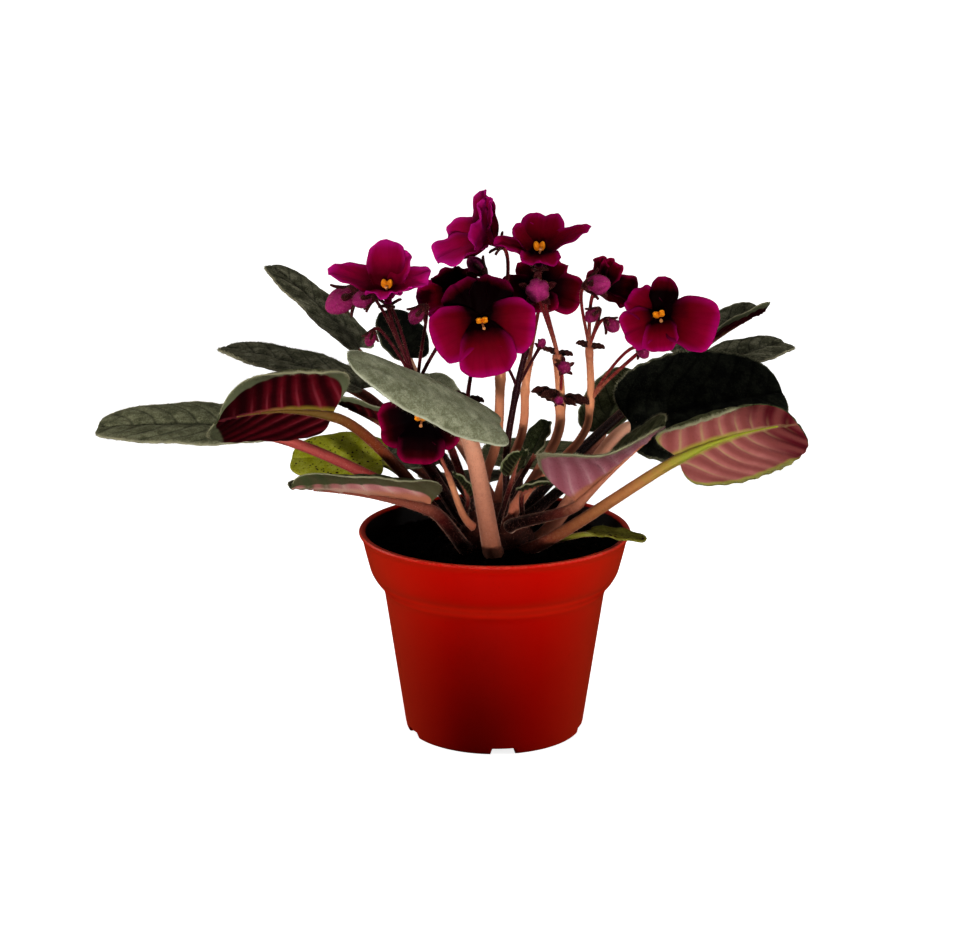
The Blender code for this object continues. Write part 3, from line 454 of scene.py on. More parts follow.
@dataclass(frozen=True)
class PetalVelvet:
    """A petal's velvet: near black at the throat, wine across it, and brighter where the light grazes."""

    name: str
    throat: str
    wine: str
    bright: str
    # The rim colour is also the painted highlight along the petal's edge, and the sheen's tint.
    rim: str
    sheen: float = 0.5

    @functools.cache
    def material(self) -> bpy.types.Material:
        """Builds the material."""
        made, tree, shader = blank_material(self.name, {
            "Roughness": 0.62, "IOR": 1.4, "Specular IOR Level": 0.02, "Sheen Weight": self.sheen,
            "Sheen Roughness": 0.3, "Sheen Tint": linear(self.rim)})
        place = add_node(tree, "ShaderNodeTexCoord").outputs["Object"]
        along = add_node(tree, "ShaderNodeAttribute", {"attribute_name": ALONG})
        tone = add_node(tree, "ShaderNodeAttribute", {"attribute_name": TONE})
        clouds = add_node(tree, "ShaderNodeTexNoise", None,
                          {"Vector": place, "Scale": per_mm(4.0), "Detail": 4.0, "Roughness": 0.6})
        drift = add_node(tree, "ShaderNodeMath", {"operation": "MULTIPLY_ADD"},
                         {0: clouds.outputs["Fac"], 1: 0.22, 2: along.outputs["Fac"]})
        darker = add_node(tree, "ShaderNodeMath", {"operation": "SUBTRACT"},
                          {0: drift.outputs[0], 1: tone.outputs["Fac"]})
        flesh = add_node(tree, "ShaderNodeValToRGB",
                         {"stops": [(0.28, self.throat), (0.58, self.wine), (1.0, self.bright)]},
                         {"Fac": darker.outputs[0]})
        # Painted highlight: the rim colour along the petal's edge, where the petal is not dark.
        edge = add_node(tree, "ShaderNodeAttribute", {"attribute_name": RIM})
        border = add_node(tree, "ShaderNodeMapRange", {"interpolation_type": "SMOOTHSTEP"},
                          {0: edge.outputs["Fac"], 1: 0.66, 2: 1.0, 3: 0.0, 4: 0.65})
        reach = add_node(tree, "ShaderNodeMapRange", None,
                         {0: darker.outputs[0], 1: 0.3, 2: 0.8, 3: 0.0, 4: 1.0})
        amount = add_node(tree, "ShaderNodeMath", {"operation": "MULTIPLY"},
                          {0: border.outputs[0], 1: reach.outputs[0]})
        edged = add_node(tree, "ShaderNodeMix", {"data_type": "RGBA"},
                         {0: amount.outputs[0], 6: flesh.outputs[0], 7: linear(self.rim)})
        vein = add_node(tree, "ShaderNodeAttribute", {"attribute_name": VEIN})
        away = add_node(tree, "ShaderNodeMath", {"operation": "PINGPONG"}, {0: vein.outputs["Fac"], 1: 0.5})
        line = add_node(tree, "ShaderNodeMapRange", {"interpolation_type": "SMOOTHSTEP"},
                        {0: away.outputs[0], 1: 0.02, 2: 0.2, 3: 0.07, 4: 0.0})
        veined = add_node(tree, "ShaderNodeMix", {"data_type": "RGBA"},
                          {0: line.outputs[0], 6: edged.outputs[2], 7: linear(self.throat)})
        tree.links.new(veined.outputs[2], shader.inputs["Base Color"])
        # The velvet's cells are 0.05 mm across, and are drawn at 0.4 mm to show.
        velvet = add_node(tree, "ShaderNodeTexNoise", None,
                          {"Vector": place, "Scale": per_mm(0.4), "Detail": 3.0, "Roughness": 0.7})
        bump = add_node(tree, "ShaderNodeBump", None,
                        {"Strength": 0.35, "Distance": 0.0002, "Height": velvet.outputs["Fac"]})
        tree.links.new(bump.outputs[0], shader.inputs["Normal"])
        return made


@dataclass(frozen=True)
class SoftSkin:
    """A small matt surface in two mottled colours: pollen, bud felt, bract or bark."""

    name: str
    low: str
    high: str
    mottle: float = 0.8  # mm
    roughness: float = 0.6
    sheen: float = 0.2
    relief: float = 0.2  # mm

    @functools.cache
    def material(self) -> bpy.types.Material:
        """Builds the material."""
        made, tree, shader = blank_material(self.name, {
            "Roughness": self.roughness, "IOR": 1.4, "Sheen Weight": self.sheen,
            "Sheen Roughness": 0.4, "Specular IOR Level": 0.12, "Sheen Tint": linear(self.high)})
        place = add_node(tree, "ShaderNodeTexCoord").outputs["Object"]
        spots = add_node(tree, "ShaderNodeTexNoise", None,
                         {"Vector": place, "Scale": per_mm(self.mottle), "Detail": 4.0, "Roughness": 0.65})
        along = add_node(tree, "ShaderNodeAttribute", {"attribute_name": ALONG})
        mixed = add_node(tree, "ShaderNodeMath", {"operation": "MULTIPLY_ADD"},
                         {0: spots.outputs["Fac"], 1: 0.7, 2: along.outputs["Fac"]})
        colour = add_node(tree, "ShaderNodeValToRGB",
                          {"stops": [(0.30, self.low), (0.95, self.high)]}, {"Fac": mixed.outputs[0]})
        tree.links.new(colour.outputs[0], shader.inputs["Base Color"])
        bump = add_node(tree, "ShaderNodeBump", None,
                        {"Strength": 0.5, "Distance": self.relief / 1000, "Height": spots.outputs["Fac"]})
        tree.links.new(bump.outputs[0], shader.inputs["Normal"])
        return made


@dataclass(frozen=True)
class DownStrand:
    """The short clear hairs of the plant, which look silver or pink by what they grow on."""

    name: str
    colour: str
    shade: str

    @functools.cache
    def material(self) -> bpy.types.Material:
        """Builds the material."""
        made, tree, shader = blank_material(self.name, {"Roughness": 0.5, "IOR": 1.5,
                                                        "Specular IOR Level": 0.1})
        chance = add_node(tree, "ShaderNodeAttribute", {"attribute_name": TONE})
        colour = add_node(tree, "ShaderNodeMix", {"data_type": "RGBA"},
                          {0: chance.outputs["Fac"], 6: linear(self.shade), 7: linear(self.colour)})
        tree.links.new(colour.outputs[2], shader.inputs["Base Color"])
        return made


POT_SKIN = MouldedPolypropylene()
SOIL_SKIN = DampPeat()
CROWN_BARK = SoftSkin("crown_bark", "#1E0B08", "#5C2A1C", 1.2, 0.75, 0.2, 0.5)
# The anther lobes are painted lighter at the front and darker at the back: painted light and shade.
POLLEN = SoftSkin("anther_pollen", "#B85206", "#F09A1C", 0.5, 0.55, 0.3, 0.15)
STYLE_SKIN = SoftSkin("style_flesh", "#7A2A2C", "#D0905A", 1.5, 0.45, 0.2, 0.1)
BUD_FELT = SoftSkin("bud_felt", "#5A0424", "#B4347A", 1.4, 0.65, 0.3, 0.5)
BRACT_SKIN = SoftSkin("bract_skin", "#140606", "#3E1A14", 0.9, 0.6, 0.2, 0.2)
CALYX_SKIN = SoftSkin("calyx_skin", "#1C0608", "#561C20", 0.9, 0.55, 0.25, 0.2)
SILVER_DOWN = DownStrand("silver_down", "#B0AA8C", "#6E6A50")
MOSS_DOWN = DownStrand("moss_down", "#3E3C2A", "#1A180C")
PINK_DOWN = DownStrand("pink_down", "#C49480", "#74342A")


@dataclass(frozen=True)
class LeafSkin:
    """The two faces of a leaf, and its stalk's skin."""

    face: LeafFace
    underside: LeafUnderside
    stalk: StalkSkin


DARK_FACE = LeafFace("leaf_face_dark", "#080803", "#3A3A2A", "#7A7864", "#9A947A", 0.3, groove=0.5)
OLIVE_FACE = LeafFace("leaf_face_olive", "#0E0E06", "#55563F", "#8E8E70", "#A6A286", 0.3, groove=0.5)
BLACK_FACE = LeafFace("leaf_face_black", "#000000", "#050604", "#22241A", "#5C5C48", 0.03)
# Its pale colours are partly the down's own and partly a painted sheen, as the down shows at a grazing view.
SILVER_FACE = LeafFace("leaf_face_silver", "#4A4B35", "#72735A", "#A0A188", "#C8C8B0", 0.5, groove=0.25)
GREEN_FACE = LeafFace("leaf_face_green", "#0E0D04", "#34361C", "#5E6044", "#A8A484", 0.25)
YOUNG_FACE = LeafFace("leaf_face_young", "#050602", "#1E2410", "#464A30", "#9C987A", 0.2)
YELLOW_FACE = LeafFace("leaf_face_yellow", "#6E6C06", "#96961C", "#B4B24E", "#A09A34", 0.1, "#2C1604", 0.2)
OLD_FACE = LeafFace("leaf_face_old", "#3E3C06", "#62601A", "#86843A", "#8A8636", 0.1, "#2C1604", 0.2)
WINE_UNDER = LeafUnderside("leaf_under_wine", "#7A1222", "#180002", "#300005", "#8C3A44", "#7E6C28",
                           "#666B50", 0.06, 0.68)
ROSE_UNDER = LeafUnderside("leaf_under_rose", "#C07C76", "#8A4A46", "#5A0E1E", "#B09C6C", "#A09A3C",
                           "#989848", 0.2)
MAUVE_UNDER = LeafUnderside("leaf_under_mauve", "#C0848E", "#94545E", "#A87480", "#C09898", "#A46A50",
                            "#80825E", 0.25)
PALE_UNDER = LeafUnderside("leaf_under_pale", "#D8A4A0", "#A86A68", "#5A5A3E", "#C4A894", "#B07258",
                           "#464C30", 0.25, 0.32)
YOUNG_UNDER = LeafUnderside("leaf_under_young", "#34301C", "#14140A", "#2A3018", "#5A5E40", "#5A4A30",
                            "#6E7250", 0.15)
YELLOW_UNDER = LeafUnderside("leaf_under_yellow", "#9CA03A", "#7C8226", "#8F962E", "#B4B868", "#B0B26A",
                             "#A6AC48", 0.3)
SALMON_STALK = StalkSkin("petiole_salmon", "#A86850", "#D2967A", "#CFA48A", 0.28)
PINK_STALK = StalkSkin("petiole_pink", "#6A201A", "#B0504A", "#B05A4E")
BROWN_STALK = StalkSkin("petiole_brown", "#3E120A", "#7A3A20", "#6C5226", fuzz=0.6)
OLIVE_STALK = StalkSkin("petiole_olive", "#7A3A2A", "#B8804E", "#9CA03A", 0.30)
WINE_STALK = StalkSkin("petiole_wine", "#240806", "#4A1614", "#8C4E3E", 0.58, 0.7)
LIME_STALK = StalkSkin("petiole_lime", "#4A2A12", "#8A8430", "#A0A048")
FOLDED_STALK = StalkSkin("petiole_folded", "#240806", "#5A261E", "#A86E54", 0.55, 0.7)
SALMON_SCAPE = StalkSkin("scape_salmon", "#A8624A", "#CC8C66", "#701C22", 0.16)
RED_SCAPE = StalkSkin("scape_red", "#4E1614", "#641420", "#4A0A16")
DARK_SCAPE = StalkSkin("scape_dark", "#2C0808", "#24030A", "#3A0812")


class Skin(Enum):
    """The kinds of leaf on the plant."""

    DARK = LeafSkin(DARK_FACE, WINE_UNDER, WINE_STALK)
    DARK_PINK = LeafSkin(OLIVE_FACE, WINE_UNDER, PINK_STALK)
    DARK_BROWN = LeafSkin(GREEN_FACE, WINE_UNDER, BROWN_STALK)
    BLACK = LeafSkin(BLACK_FACE, WINE_UNDER, SALMON_STALK)
    SILVER = LeafSkin(SILVER_FACE, MAUVE_UNDER, SALMON_STALK)
    ROSE = LeafSkin(GREEN_FACE, ROSE_UNDER, OLIVE_STALK)
    MAUVE = LeafSkin(GREEN_FACE, MAUVE_UNDER, FOLDED_STALK)
    PALE = LeafSkin(GREEN_FACE, PALE_UNDER, WINE_STALK)
    YOUNG = LeafSkin(YOUNG_FACE, YOUNG_UNDER, WINE_STALK)
    YELLOW = LeafSkin(YELLOW_FACE, YELLOW_UNDER, LIME_STALK)
    OLD = LeafSkin(OLD_FACE, YELLOW_UNDER, LIME_STALK)


class Velvet(Enum):
    """The tones of flower on the plant."""

    DEEP = PetalVelvet("petal_deep", "#0A0001", "#640012", "#8A0030", "#AA0870", 0.22)
    BRIGHT = PetalVelvet("petal_bright", "#4A0010", "#8E0034", "#AE0862", "#CC2096", 0.4)
    BLACK = PetalVelvet("petal_black", "#040001", "#180003", "#54000C", "#A00048", 0.12)


def read_points(piece: Piece) -> Array:
    """The places of a piece's vertices, one row each."""
    flat = np.empty(len(piece.data.vertices) * 3, np.float32)
    piece.data.vertices.foreach_get("co", flat)
    return flat.reshape(-1, 3).astype(float)


def write_points(piece: Piece, points: Array, marks: Marks | None = None) -> None:
    """Moves a piece's vertices and stores its marks.

    Args:
        piece: The mesh to change.
        points: A place for each vertex.
        marks: A value for each vertex under each mark's name.
    """
    piece.data.vertices.foreach_set("co", points.astype(np.float32).ravel())
    for name, values in (marks or {}).items():
        store = piece.data.attributes.get(name) or piece.data.attributes.new(name, "FLOAT", "POINT")
        store.data.foreach_set("value", np.ascontiguousarray(values, np.float32))
    piece.data.update()


def read_mark(piece: Piece, name: str) -> Array:
    """The values of a mark at a piece's vertices."""
    values = np.empty(len(piece.data.vertices), np.float32)
    piece.data.attributes[name].data.foreach_get("value", values)
    return values


def every_mark(zero: Array, given: Marks) -> Marks:
    """All five marks, which are 0 where they aren't given."""
    return {name: given.get(name, zero) for name in (ALONG, RIM, VEIN, RIB, TONE)}


def added(operator: Callable, **settings: object) -> Piece:
    """Adds one object, with nothing else selected."""
    bpy.ops.object.select_all(action="DESELECT")
    operator(**settings)
    return bpy.context.active_object


def taken(piece: Piece) -> Form:
    """The points and faces of an object, which is removed."""
    points = read_points(piece)
    faces = [list(face.vertices) for face in piece.data.polygons]
    bpy.data.objects.remove(piece)
    return points, faces


def modified(piece: Piece, kind: str, **settings: object) -> None:
    """Runs one modifier on a piece."""
    modifier = piece.modifiers.new(kind.title(), kind)
    for name, value in settings.items():
        setattr(modifier, name, value)
    activate(piece)
    bpy.ops.object.modifier_apply(modifier=modifier.name)


def painted(piece: Piece, *skins: Finish) -> Piece:
    """Gives a piece its finishes."""
    for skin in skins:
        piece.data.materials.append(skin.material())
    return piece


def turned(ring: Array, spin: Array, high: Array) -> Array:
    """The places at a distance from the axis, a turn about it and a height."""
    return np.stack([ring * np.cos(spin), ring * np.sin(spin), high], 1)


def unit(rows: Array) -> Array:
    """Each row at length 1."""
    return rows / np.linalg.norm(rows, axis=1)[:, None]


def activate(piece: Piece) -> None:
    """Makes this the only selected object, and the active one."""
    bpy.ops.object.select_all(action="DESELECT")
    piece.select_set(True)
    bpy.context.view_layer.objects.active = piece


def weld(piece: Piece, closed: bool = True) -> None:
    """Merges a mesh's seams and poles, and turns the faces of a closed one outwards."""
    activate(piece)
    bpy.ops.object.mode_set(mode="EDIT")
    bpy.ops.mesh.select_all(action="SELECT")
    bpy.ops.mesh.remove_doubles(threshold=WELD)
    if closed:
        bpy.ops.mesh.normals_make_consistent(inside=False)
    bpy.ops.object.mode_set(mode="OBJECT")


def shaped_grid(name: str, rows: int, columns: int, shape: Shape, closed: bool = True) -> Piece:
    """Adds a grid and moves its vertices to a shape.

    Args:
        name: The new object's name.
        rows: Faces along u, which runs from 0 to 1.
        columns: Faces along t, which runs from -1 to 1.
        shape: Gives the places and marks at arrays of u and t.
        closed: Whether the shape wraps into a closed body.

    Returns:
        The welded mesh, shaded smooth.
    """
    piece = added(bpy.ops.mesh.primitive_grid_add, x_subdivisions=rows, y_subdivisions=columns, size=2)
    piece.name = piece.data.name = name
    flat = read_points(piece)
    points, marks = shape((flat[:, 0] + 1) / 2, flat[:, 1])
    write_points(piece, points, marks)
    weld(piece, closed)
    piece.data.shade_smooth()
    return piece


def joined(name: str, parts: Sequence[Piece]) -> Piece:
    """Joins objects, with their materials, into one mesh.

    Args:
        name: The piece's name.
        parts: The objects, whose first one takes in the others.

    Returns:
        The one object.
    """
    activate(parts[0])
    for part in parts[1:]:
        part.select_set(True)
    if len(parts) > 1:
        bpy.ops.object.join()
    piece = bpy.context.active_object
    piece.name = piece.data.name = name
    return piece


def settle(piece: Piece, node: str) -> None:
    """Puts a finished piece in its CAD node's place and reports it.

    Args:
        piece: The finished piece.
        node: The CAD node that it stands for.
    """
    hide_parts(node)
    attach(piece, "root")
    log.info("%s: %d faces", piece.name, len(piece.data.polygons))


def heading(azimuth: float, elevation: float) -> Vector:
    """The unit vector that points that way."""
    a, e = math.radians(azimuth), math.radians(elevation)
    return Vector((math.cos(a) * math.cos(e), math.sin(a) * math.cos(e), math.sin(e)))


def facing(azimuth: float, elevation: float, roll: float, centre: Spot) -> Matrix:
    """The matrix that turns +Z to face that way and puts it at the centre."""
    face = heading(azimuth, elevation)
    right = Vector((0, 0, 1)).cross(face).normalized()
    turn = Matrix((right, face.cross(right), face)).transposed().to_4x4()
    return Matrix.Translation(Vector(centre)) @ turn @ Matrix.Rotation(math.radians(roll), 4, "Z")


def bend(start: Vector, start_pull: Vector, end: Vector, end_pull: Vector, steps: int) -> list[Vector]:
    """Points along a smooth curve that leaves and arrives along the two pulls."""
    points = []
    for i in range(steps + 1):
        s = i / steps
        points.append(start * (2 * s**3 - 3 * s**2 + 1) + start_pull * (s**3 - 2 * s**2 + s)
                      + end * (3 * s**2 - 2 * s**3) + end_pull * (s**3 - s**2))
    return points


def smooth_route(points: Sequence[Vector], start_way: Vector, steps: int) -> list[Vector]:
    """A smooth curve through the points, which leaves the first one along start_way."""
    ways = [start_way * (points[1] - points[0]).length]
    for before, after in zip(points, points[2:]):
        ways.append((after - before) / 2)
    ways.append(points[-1] - points[-2])
    route = [points[0]]
    for i in range(len(points) - 1):
        route += bend(points[i], ways[i], points[i + 1], ways[i + 1], steps)[1:]
    return route


def swept(name: str, route: Sequence[Vector], radii: Sequence[float], sides: int,
          along: Sequence[float], flat: float = 1.0) -> Piece:
    """Wraps a grid round a route as a closed, round-ended rod.

    Args:
        name: The new object's name.
        route: The points of its middle line.
        radii: Its radius at each point.
        sides: Faces round it.
        along: The mark at each point that colours it.
        flat: Its height against its width.

    Returns:
        The rod.
    """
    line = np.array([tuple(p) for p in route])
    ways = unit(np.gradient(line, axis=0))
    across = np.cross(ways[0], (0.31, 0.17, 0.93))
    sideways = []
    for way in ways:
        across = across - way * np.dot(across, way)
        across = across / np.linalg.norm(across)
        sideways.append(across)
    sideways = np.array(sideways)
    upward = np.cross(ways, sideways)
    line = np.vstack([line[:1], line, line[-1:] + ways[-1:] * radii[-1] * 0.4])
    sideways = np.vstack([sideways[:1], sideways, sideways[-1:]])
    upward = np.vstack([upward[:1], upward, upward[-1:]])
    widths = np.concatenate([[0], radii, [0]])
    colours = np.concatenate([along[:1], along, along[-1:]])

    def shape(u: Array, t: Array) -> Shaped:
        """Wraps each row of the grid round one point of the route."""
        row = np.rint(u * (len(line) - 1)).astype(int)
        angle = t * math.pi
        wide = widths[row][:, None]
        place = (line[row] + sideways[row] * np.cos(angle)[:, None] * wide
                 + upward[row] * np.sin(angle)[:, None] * wide * flat)
        return place, every_mark(u * 0, {ALONG: colours[row]})

    return shaped_grid(name, len(line) - 1, sides, shape)


def ball(name: str, matrix: Matrix, size: Spot, rows: int, columns: int, pleats: float = 0.0,
         point: float = 0.0, along: Pair = (0.0, 0.6)) -> Piece:
    """Wraps a grid into a ball along Z, with pleats round it and a drawn-out tip.

    Args:
        name: The new object's name.
        matrix: Where it stands.
        size: Half its extent along each axis.
        rows: Faces from pole to pole.
        columns: Faces round it.
        pleats: How deep its five grooves are, against its radius.
        point: How far its tip is drawn out.
        along: The marks at its foot and its tip.

    Returns:
        The ball.
    """
    def shape(u: Array, t: Array) -> Shaped:
        """Turns u to latitude and t to a turn about Z."""
        polar = (1 - u) * math.pi
        spin = t * math.pi + u * 1.1
        ring = np.sin(polar) * (1 - pleats * (0.5 + 0.5 * np.cos(5 * spin)) ** 3 * u)
        height = np.cos(polar) * (1 + point * np.clip(np.cos(polar), 0, 1) ** 4)
        local = np.stack([ring * np.cos(spin) * size[0], ring * np.sin(spin) * size[1], height * size[2]], 1)
        turn = np.array(matrix)
        mark = along[0] + (along[1] - along[0]) * u
        return local @ turn[:3, :3].T + turn[:3, 3], every_mark(u * 0, {ALONG: mark})

    return shaped_grid(name, rows, columns, shape)


@dataclass(frozen=True)
class Sheet:
    """A curved leaf or petal: its midrib bows, and each half folds up and curls from it."""

    origin: Vector
    forward: Vector
    side: Vector
    length: float
    width: float
    bow: float
    fold: Pair
    curl: Pair
    flare: Pair = (0, 0)
    ripple: float = 0.0
    sway: float = 0.0

    def swing(self) -> float:
        """How far the midrib turns aside at one metre, squared from there."""
        return math.tan(math.radians(self.sway)) / (2 * self.length)

    def points(self, along: Array, across: Array) -> Array:
        """The places that far along and across the flat sheet."""
        left = across > 0
        half, share = np.abs(across), along / self.length
        fold = np.where(left, *self.fold) + np.where(left, *self.flare) * np.clip(1 - share, 0, None) ** 2
        curl = np.where(left, *self.curl)
        out, rise = np.zeros_like(half), np.zeros_like(half)
        steps = 10
        for i in range(steps):
            edge = half * (i + 0.5) / steps / (self.width / 2)
            slope = np.radians(fold + curl * edge**2)
            out += np.cos(slope) * half / steps
            rise += np.sin(slope) * half / steps
        edge = half / (self.width / 2)
        rise += self.ripple * edge**2 * np.sin(5 * math.pi * share + np.where(left, 0, 1))
        up = np.array(self.forward.cross(self.side))
        forward, side, bow = np.array(self.forward), np.array(self.side), math.radians(self.bow or 0.01)
        turn = (bow / self.length * along)[:, None]
        middle = np.array(self.origin) + forward * (np.sin(turn) * self.length / bow)
        middle = middle - up * ((1 - np.cos(turn)) * self.length / bow)
        middle = middle + side * (along[:, None] ** 2 * self.swing())
        upward = up * np.cos(turn) + forward * np.sin(turn)
        return middle + side * (np.copysign(out, across))[:, None] + upward * rise[:, None]

    def lifted(self, along: Array, across: Array, lift: Array) -> Array:
        """The places at a height off the curved sheet, measured square to it."""
        step = 2e-5
        ahead = self.points(along + step, across) - self.points(along - step, across)
        aside = self.points(along, across + step) - self.points(along, across - step)
        normal = np.cross(ahead, aside)
        normal /= np.linalg.norm(normal, axis=1)[:, None] + 1e-20
        return self.points(along, across) + normal * lift[:, None]

    def spot(self, along: float, lift: float) -> Vector:
        """A place on the midrib, lifted off the sheet."""
        bow = math.radians(self.bow or 0.01) / self.length
        a, up = bow * along, self.forward.cross(self.side)
        middle = self.origin + self.forward * (math.sin(a) / bow) - up * ((1 - math.cos(a)) / bow)
        middle += self.side * (along**2 * self.swing())
        return middle + (up * math.cos(a) + self.forward * math.sin(a)) * lift


def leaf_outline(u: Array, t: Array, blunt: float) -> tuple[Array, Array]:
    """Where on a unit leaf each point is that lies u of the way up and t of the way to an edge."""
    lobe = np.where(u < 0.5, 0.13 * np.sin(2 * np.pi * u) * np.cos(np.pi * u) ** 2, 0)
    edge_x = 0.5 * (1 - np.cos(np.pi * u)) - lobe
    edge_y = np.clip(np.sin(np.pi * u), 0, 1) ** (0.8 - blunt * u) * (1 + 0.12 * np.cos(np.pi * u))
    middle = u**1.5
    return middle + (edge_x - middle) * np.abs(t) ** 1.3, t * edge_y


def petal_outline(u: Array, t: Array, taper: float) -> tuple[Array, Array]:
    """The same for a petal, narrow where it is held and broad beyond, with a tip that can taper."""
    edge_x = 0.5 * (1 - np.cos(np.pi * u)) * (1 - 0.7 * taper) + 0.7 * taper * u
    edge_y = np.clip(np.sin(np.pi * u), 0, 1) ** (0.75 + 0.4 * taper * u)
    edge_y = edge_y * (1 - (0.30 - 0.15 * taper) * np.cos(np.pi * u))
    middle = u**1.15
    return middle + (edge_x - middle) * np.abs(t), t * edge_y


def shell(name: str, sheet: Sheet, outline: Callable, size: tuple[int, int], relief: Relief,
          waver: Callable[[Array, Array], Array], skins: tuple[Finish, Finish]) -> Piece:
    """Makes a thin closed blade with its own relief on each face.

    Args:
        name: The new object's name.
        sheet: The curved sheet that it follows.
        outline: Turns u and t to a place on the unit blade.
        size: Faces along it and across it.
        relief: Gives the upper face's height, the lower face's and the marks, at places and rims.
        waver: How much wider or narrower the edge is at u and t.
        skins: The finishes of the upper face and the lower one.

    Returns:
        The blade.
    """
    def flat(u: Array, t: Array) -> Shaped:
        """Lays the grid on the sheet and keeps where each vertex is on it."""
        x, y = outline(u, t)
        y = y * (1 + waver(u, t))
        x, y = x * sheet.length, y * sheet.width / 2
        return sheet.points(x, y), {FLAT_X: x, FLAT_Y: y, RIM: np.abs(t)}

    piece = shaped_grid(name, *size, flat, closed=False)
    x, y, rim = (read_mark(piece, mark).astype(float) for mark in (FLAT_X, FLAT_Y, RIM))
    modified(painted(piece, *skins), "SOLIDIFY", thickness=0.0006, offset=0, material_offset=1)
    assert len(piece.data.vertices) == 2 * len(x)
    for mark in (FLAT_X, FLAT_Y):
        piece.data.attributes.remove(piece.data.attributes[mark])
    rim = np.where((x < 1e-7) & (np.abs(y) < 1e-7), 0, rim)
    upper, lower, marks = relief(x, y, rim)
    points = np.vstack([sheet.lifted(x, y, upper), sheet.lifted(x, y, lower)])
    write_points(piece, points, {mark: np.tile(values, 2) for mark, values in marks.items()})
    return piece


class Down:
    """Short hairs, each a thin three-sided spike, sown evenly over a piece."""

    sunk = 0.0001  # metres of each hair that stand in the skin

    def __init__(self, seed: int) -> None:
        """Models one spike, and starts the chance draws.

        Args:
            seed: What the draws start from.
        """
        self.chance = np.random.default_rng(seed)
        self.spike = taken(added(bpy.ops.mesh.primitive_cone_add, vertices=3, radius1=1, depth=1,
                                 location=(0, 0, 0)))

    def sow(self, piece: Piece, density: float, length: Pair, skin: DownStrand,
            radius: float = 0.00005, lean: float = 0.5, least_rim: float = 0.0) -> Piece:
        """Grows hairs on a piece.

        Args:
            piece: What they grow on.
            density: Hairs on each square millimetre.
            length: The shortest and the longest, in metres.
            skin: Their finish.
            radius: Their radius at the root. Real ones are half as thick, and would not show.
            lean: How far they lean from square.
            least_rim: Only where the rim mark is at least this.

        Returns:
            The hairs, as one mesh.
        """
        mesh = piece.data
        mesh.calc_loop_triangles()
        corners = np.empty(len(mesh.loop_triangles) * 3, np.int32)
        mesh.loop_triangles.foreach_get("vertices", corners)
        corners = corners.reshape(-1, 3)
        places = read_points(piece)
        if least_rim:
            corners = corners[read_mark(piece, RIM)[corners].min(1) >= least_rim]
        a, b, c = (places[corners[:, i]] for i in range(3))
        normals = np.cross(b - a, c - a)
        areas = np.linalg.norm(normals, axis=1) / 2
        count = max(int(areas.sum() * 1e6 * density), 1)
        pick = self.chance.choice(len(corners), count, p=areas / areas.sum())
        one, two = self.chance.random((2, count, 1))
        fold = one + two > 1
        one, two = np.where(fold, 1 - one, one), np.where(fold, 1 - two, two)
        roots = a[pick] + (b - a)[pick] * one + (c - a)[pick] * two
        ways = normals[pick] / (2 * areas[pick])[:, None]
        ways = unit(ways + self.chance.normal(0, lean, (count, 3)))
        tall = self.chance.uniform(*length, count)
        hairs = scattered(piece.name + "_down", self.spike, roots - ways * self.sunk, ways,
                          np.full(count, radius), tall, self.chance.random(count))
        return painted(hairs, skin)


def scattered(name: str, form: Form, roots: Array, ways: Array, widths: Array, heights: Array,
              tones: Array) -> Piece:
    """Copies one small form to many places, each copy with its own mesh.

    Args:
        name: The new object's name.
        form: The form's points, from -0.5 to 0.5 along Z, and its faces.
        roots: Where each copy's foot stands.
        ways: Which way each copy points.
        widths: Each copy's radius.
        heights: Each copy's height.
        tones: Each copy's chance mark.

    Returns:
        All the copies, as one object.
    """
    points, faces = form
    guide = np.where(np.abs(ways[:, 2:]) < 0.9, np.array([[0, 0, 1.0]]), np.array([[1.0, 0, 0]]))
    across = unit(np.cross(ways, guide))
    local = points[None, :] + (0, 0, 0.5)
    local = local * np.stack([widths, widths, heights], 1)[:, None]
    placed = (roots[:, None] + across[:, None] * local[..., :1]
              + np.cross(ways, across)[:, None] * local[..., 1:2] + ways[:, None] * local[..., 2:])
    mesh = bpy.data.meshes.new(name)
    size = len(points)
    every = [[corner + size * i for corner in face] for i in range(len(roots)) for face in faces]
    mesh.from_pydata(placed.reshape(-1, 3), [], every)
    made = bpy.data.objects.new(name, mesh)
    bpy.context.scene.collection.objects.link(made)
    tone = mesh.attributes.new(TONE, "FLOAT", "POINT")
    tone.data.foreach_set("value", np.repeat(tones, size).astype(np.float32))
    return made


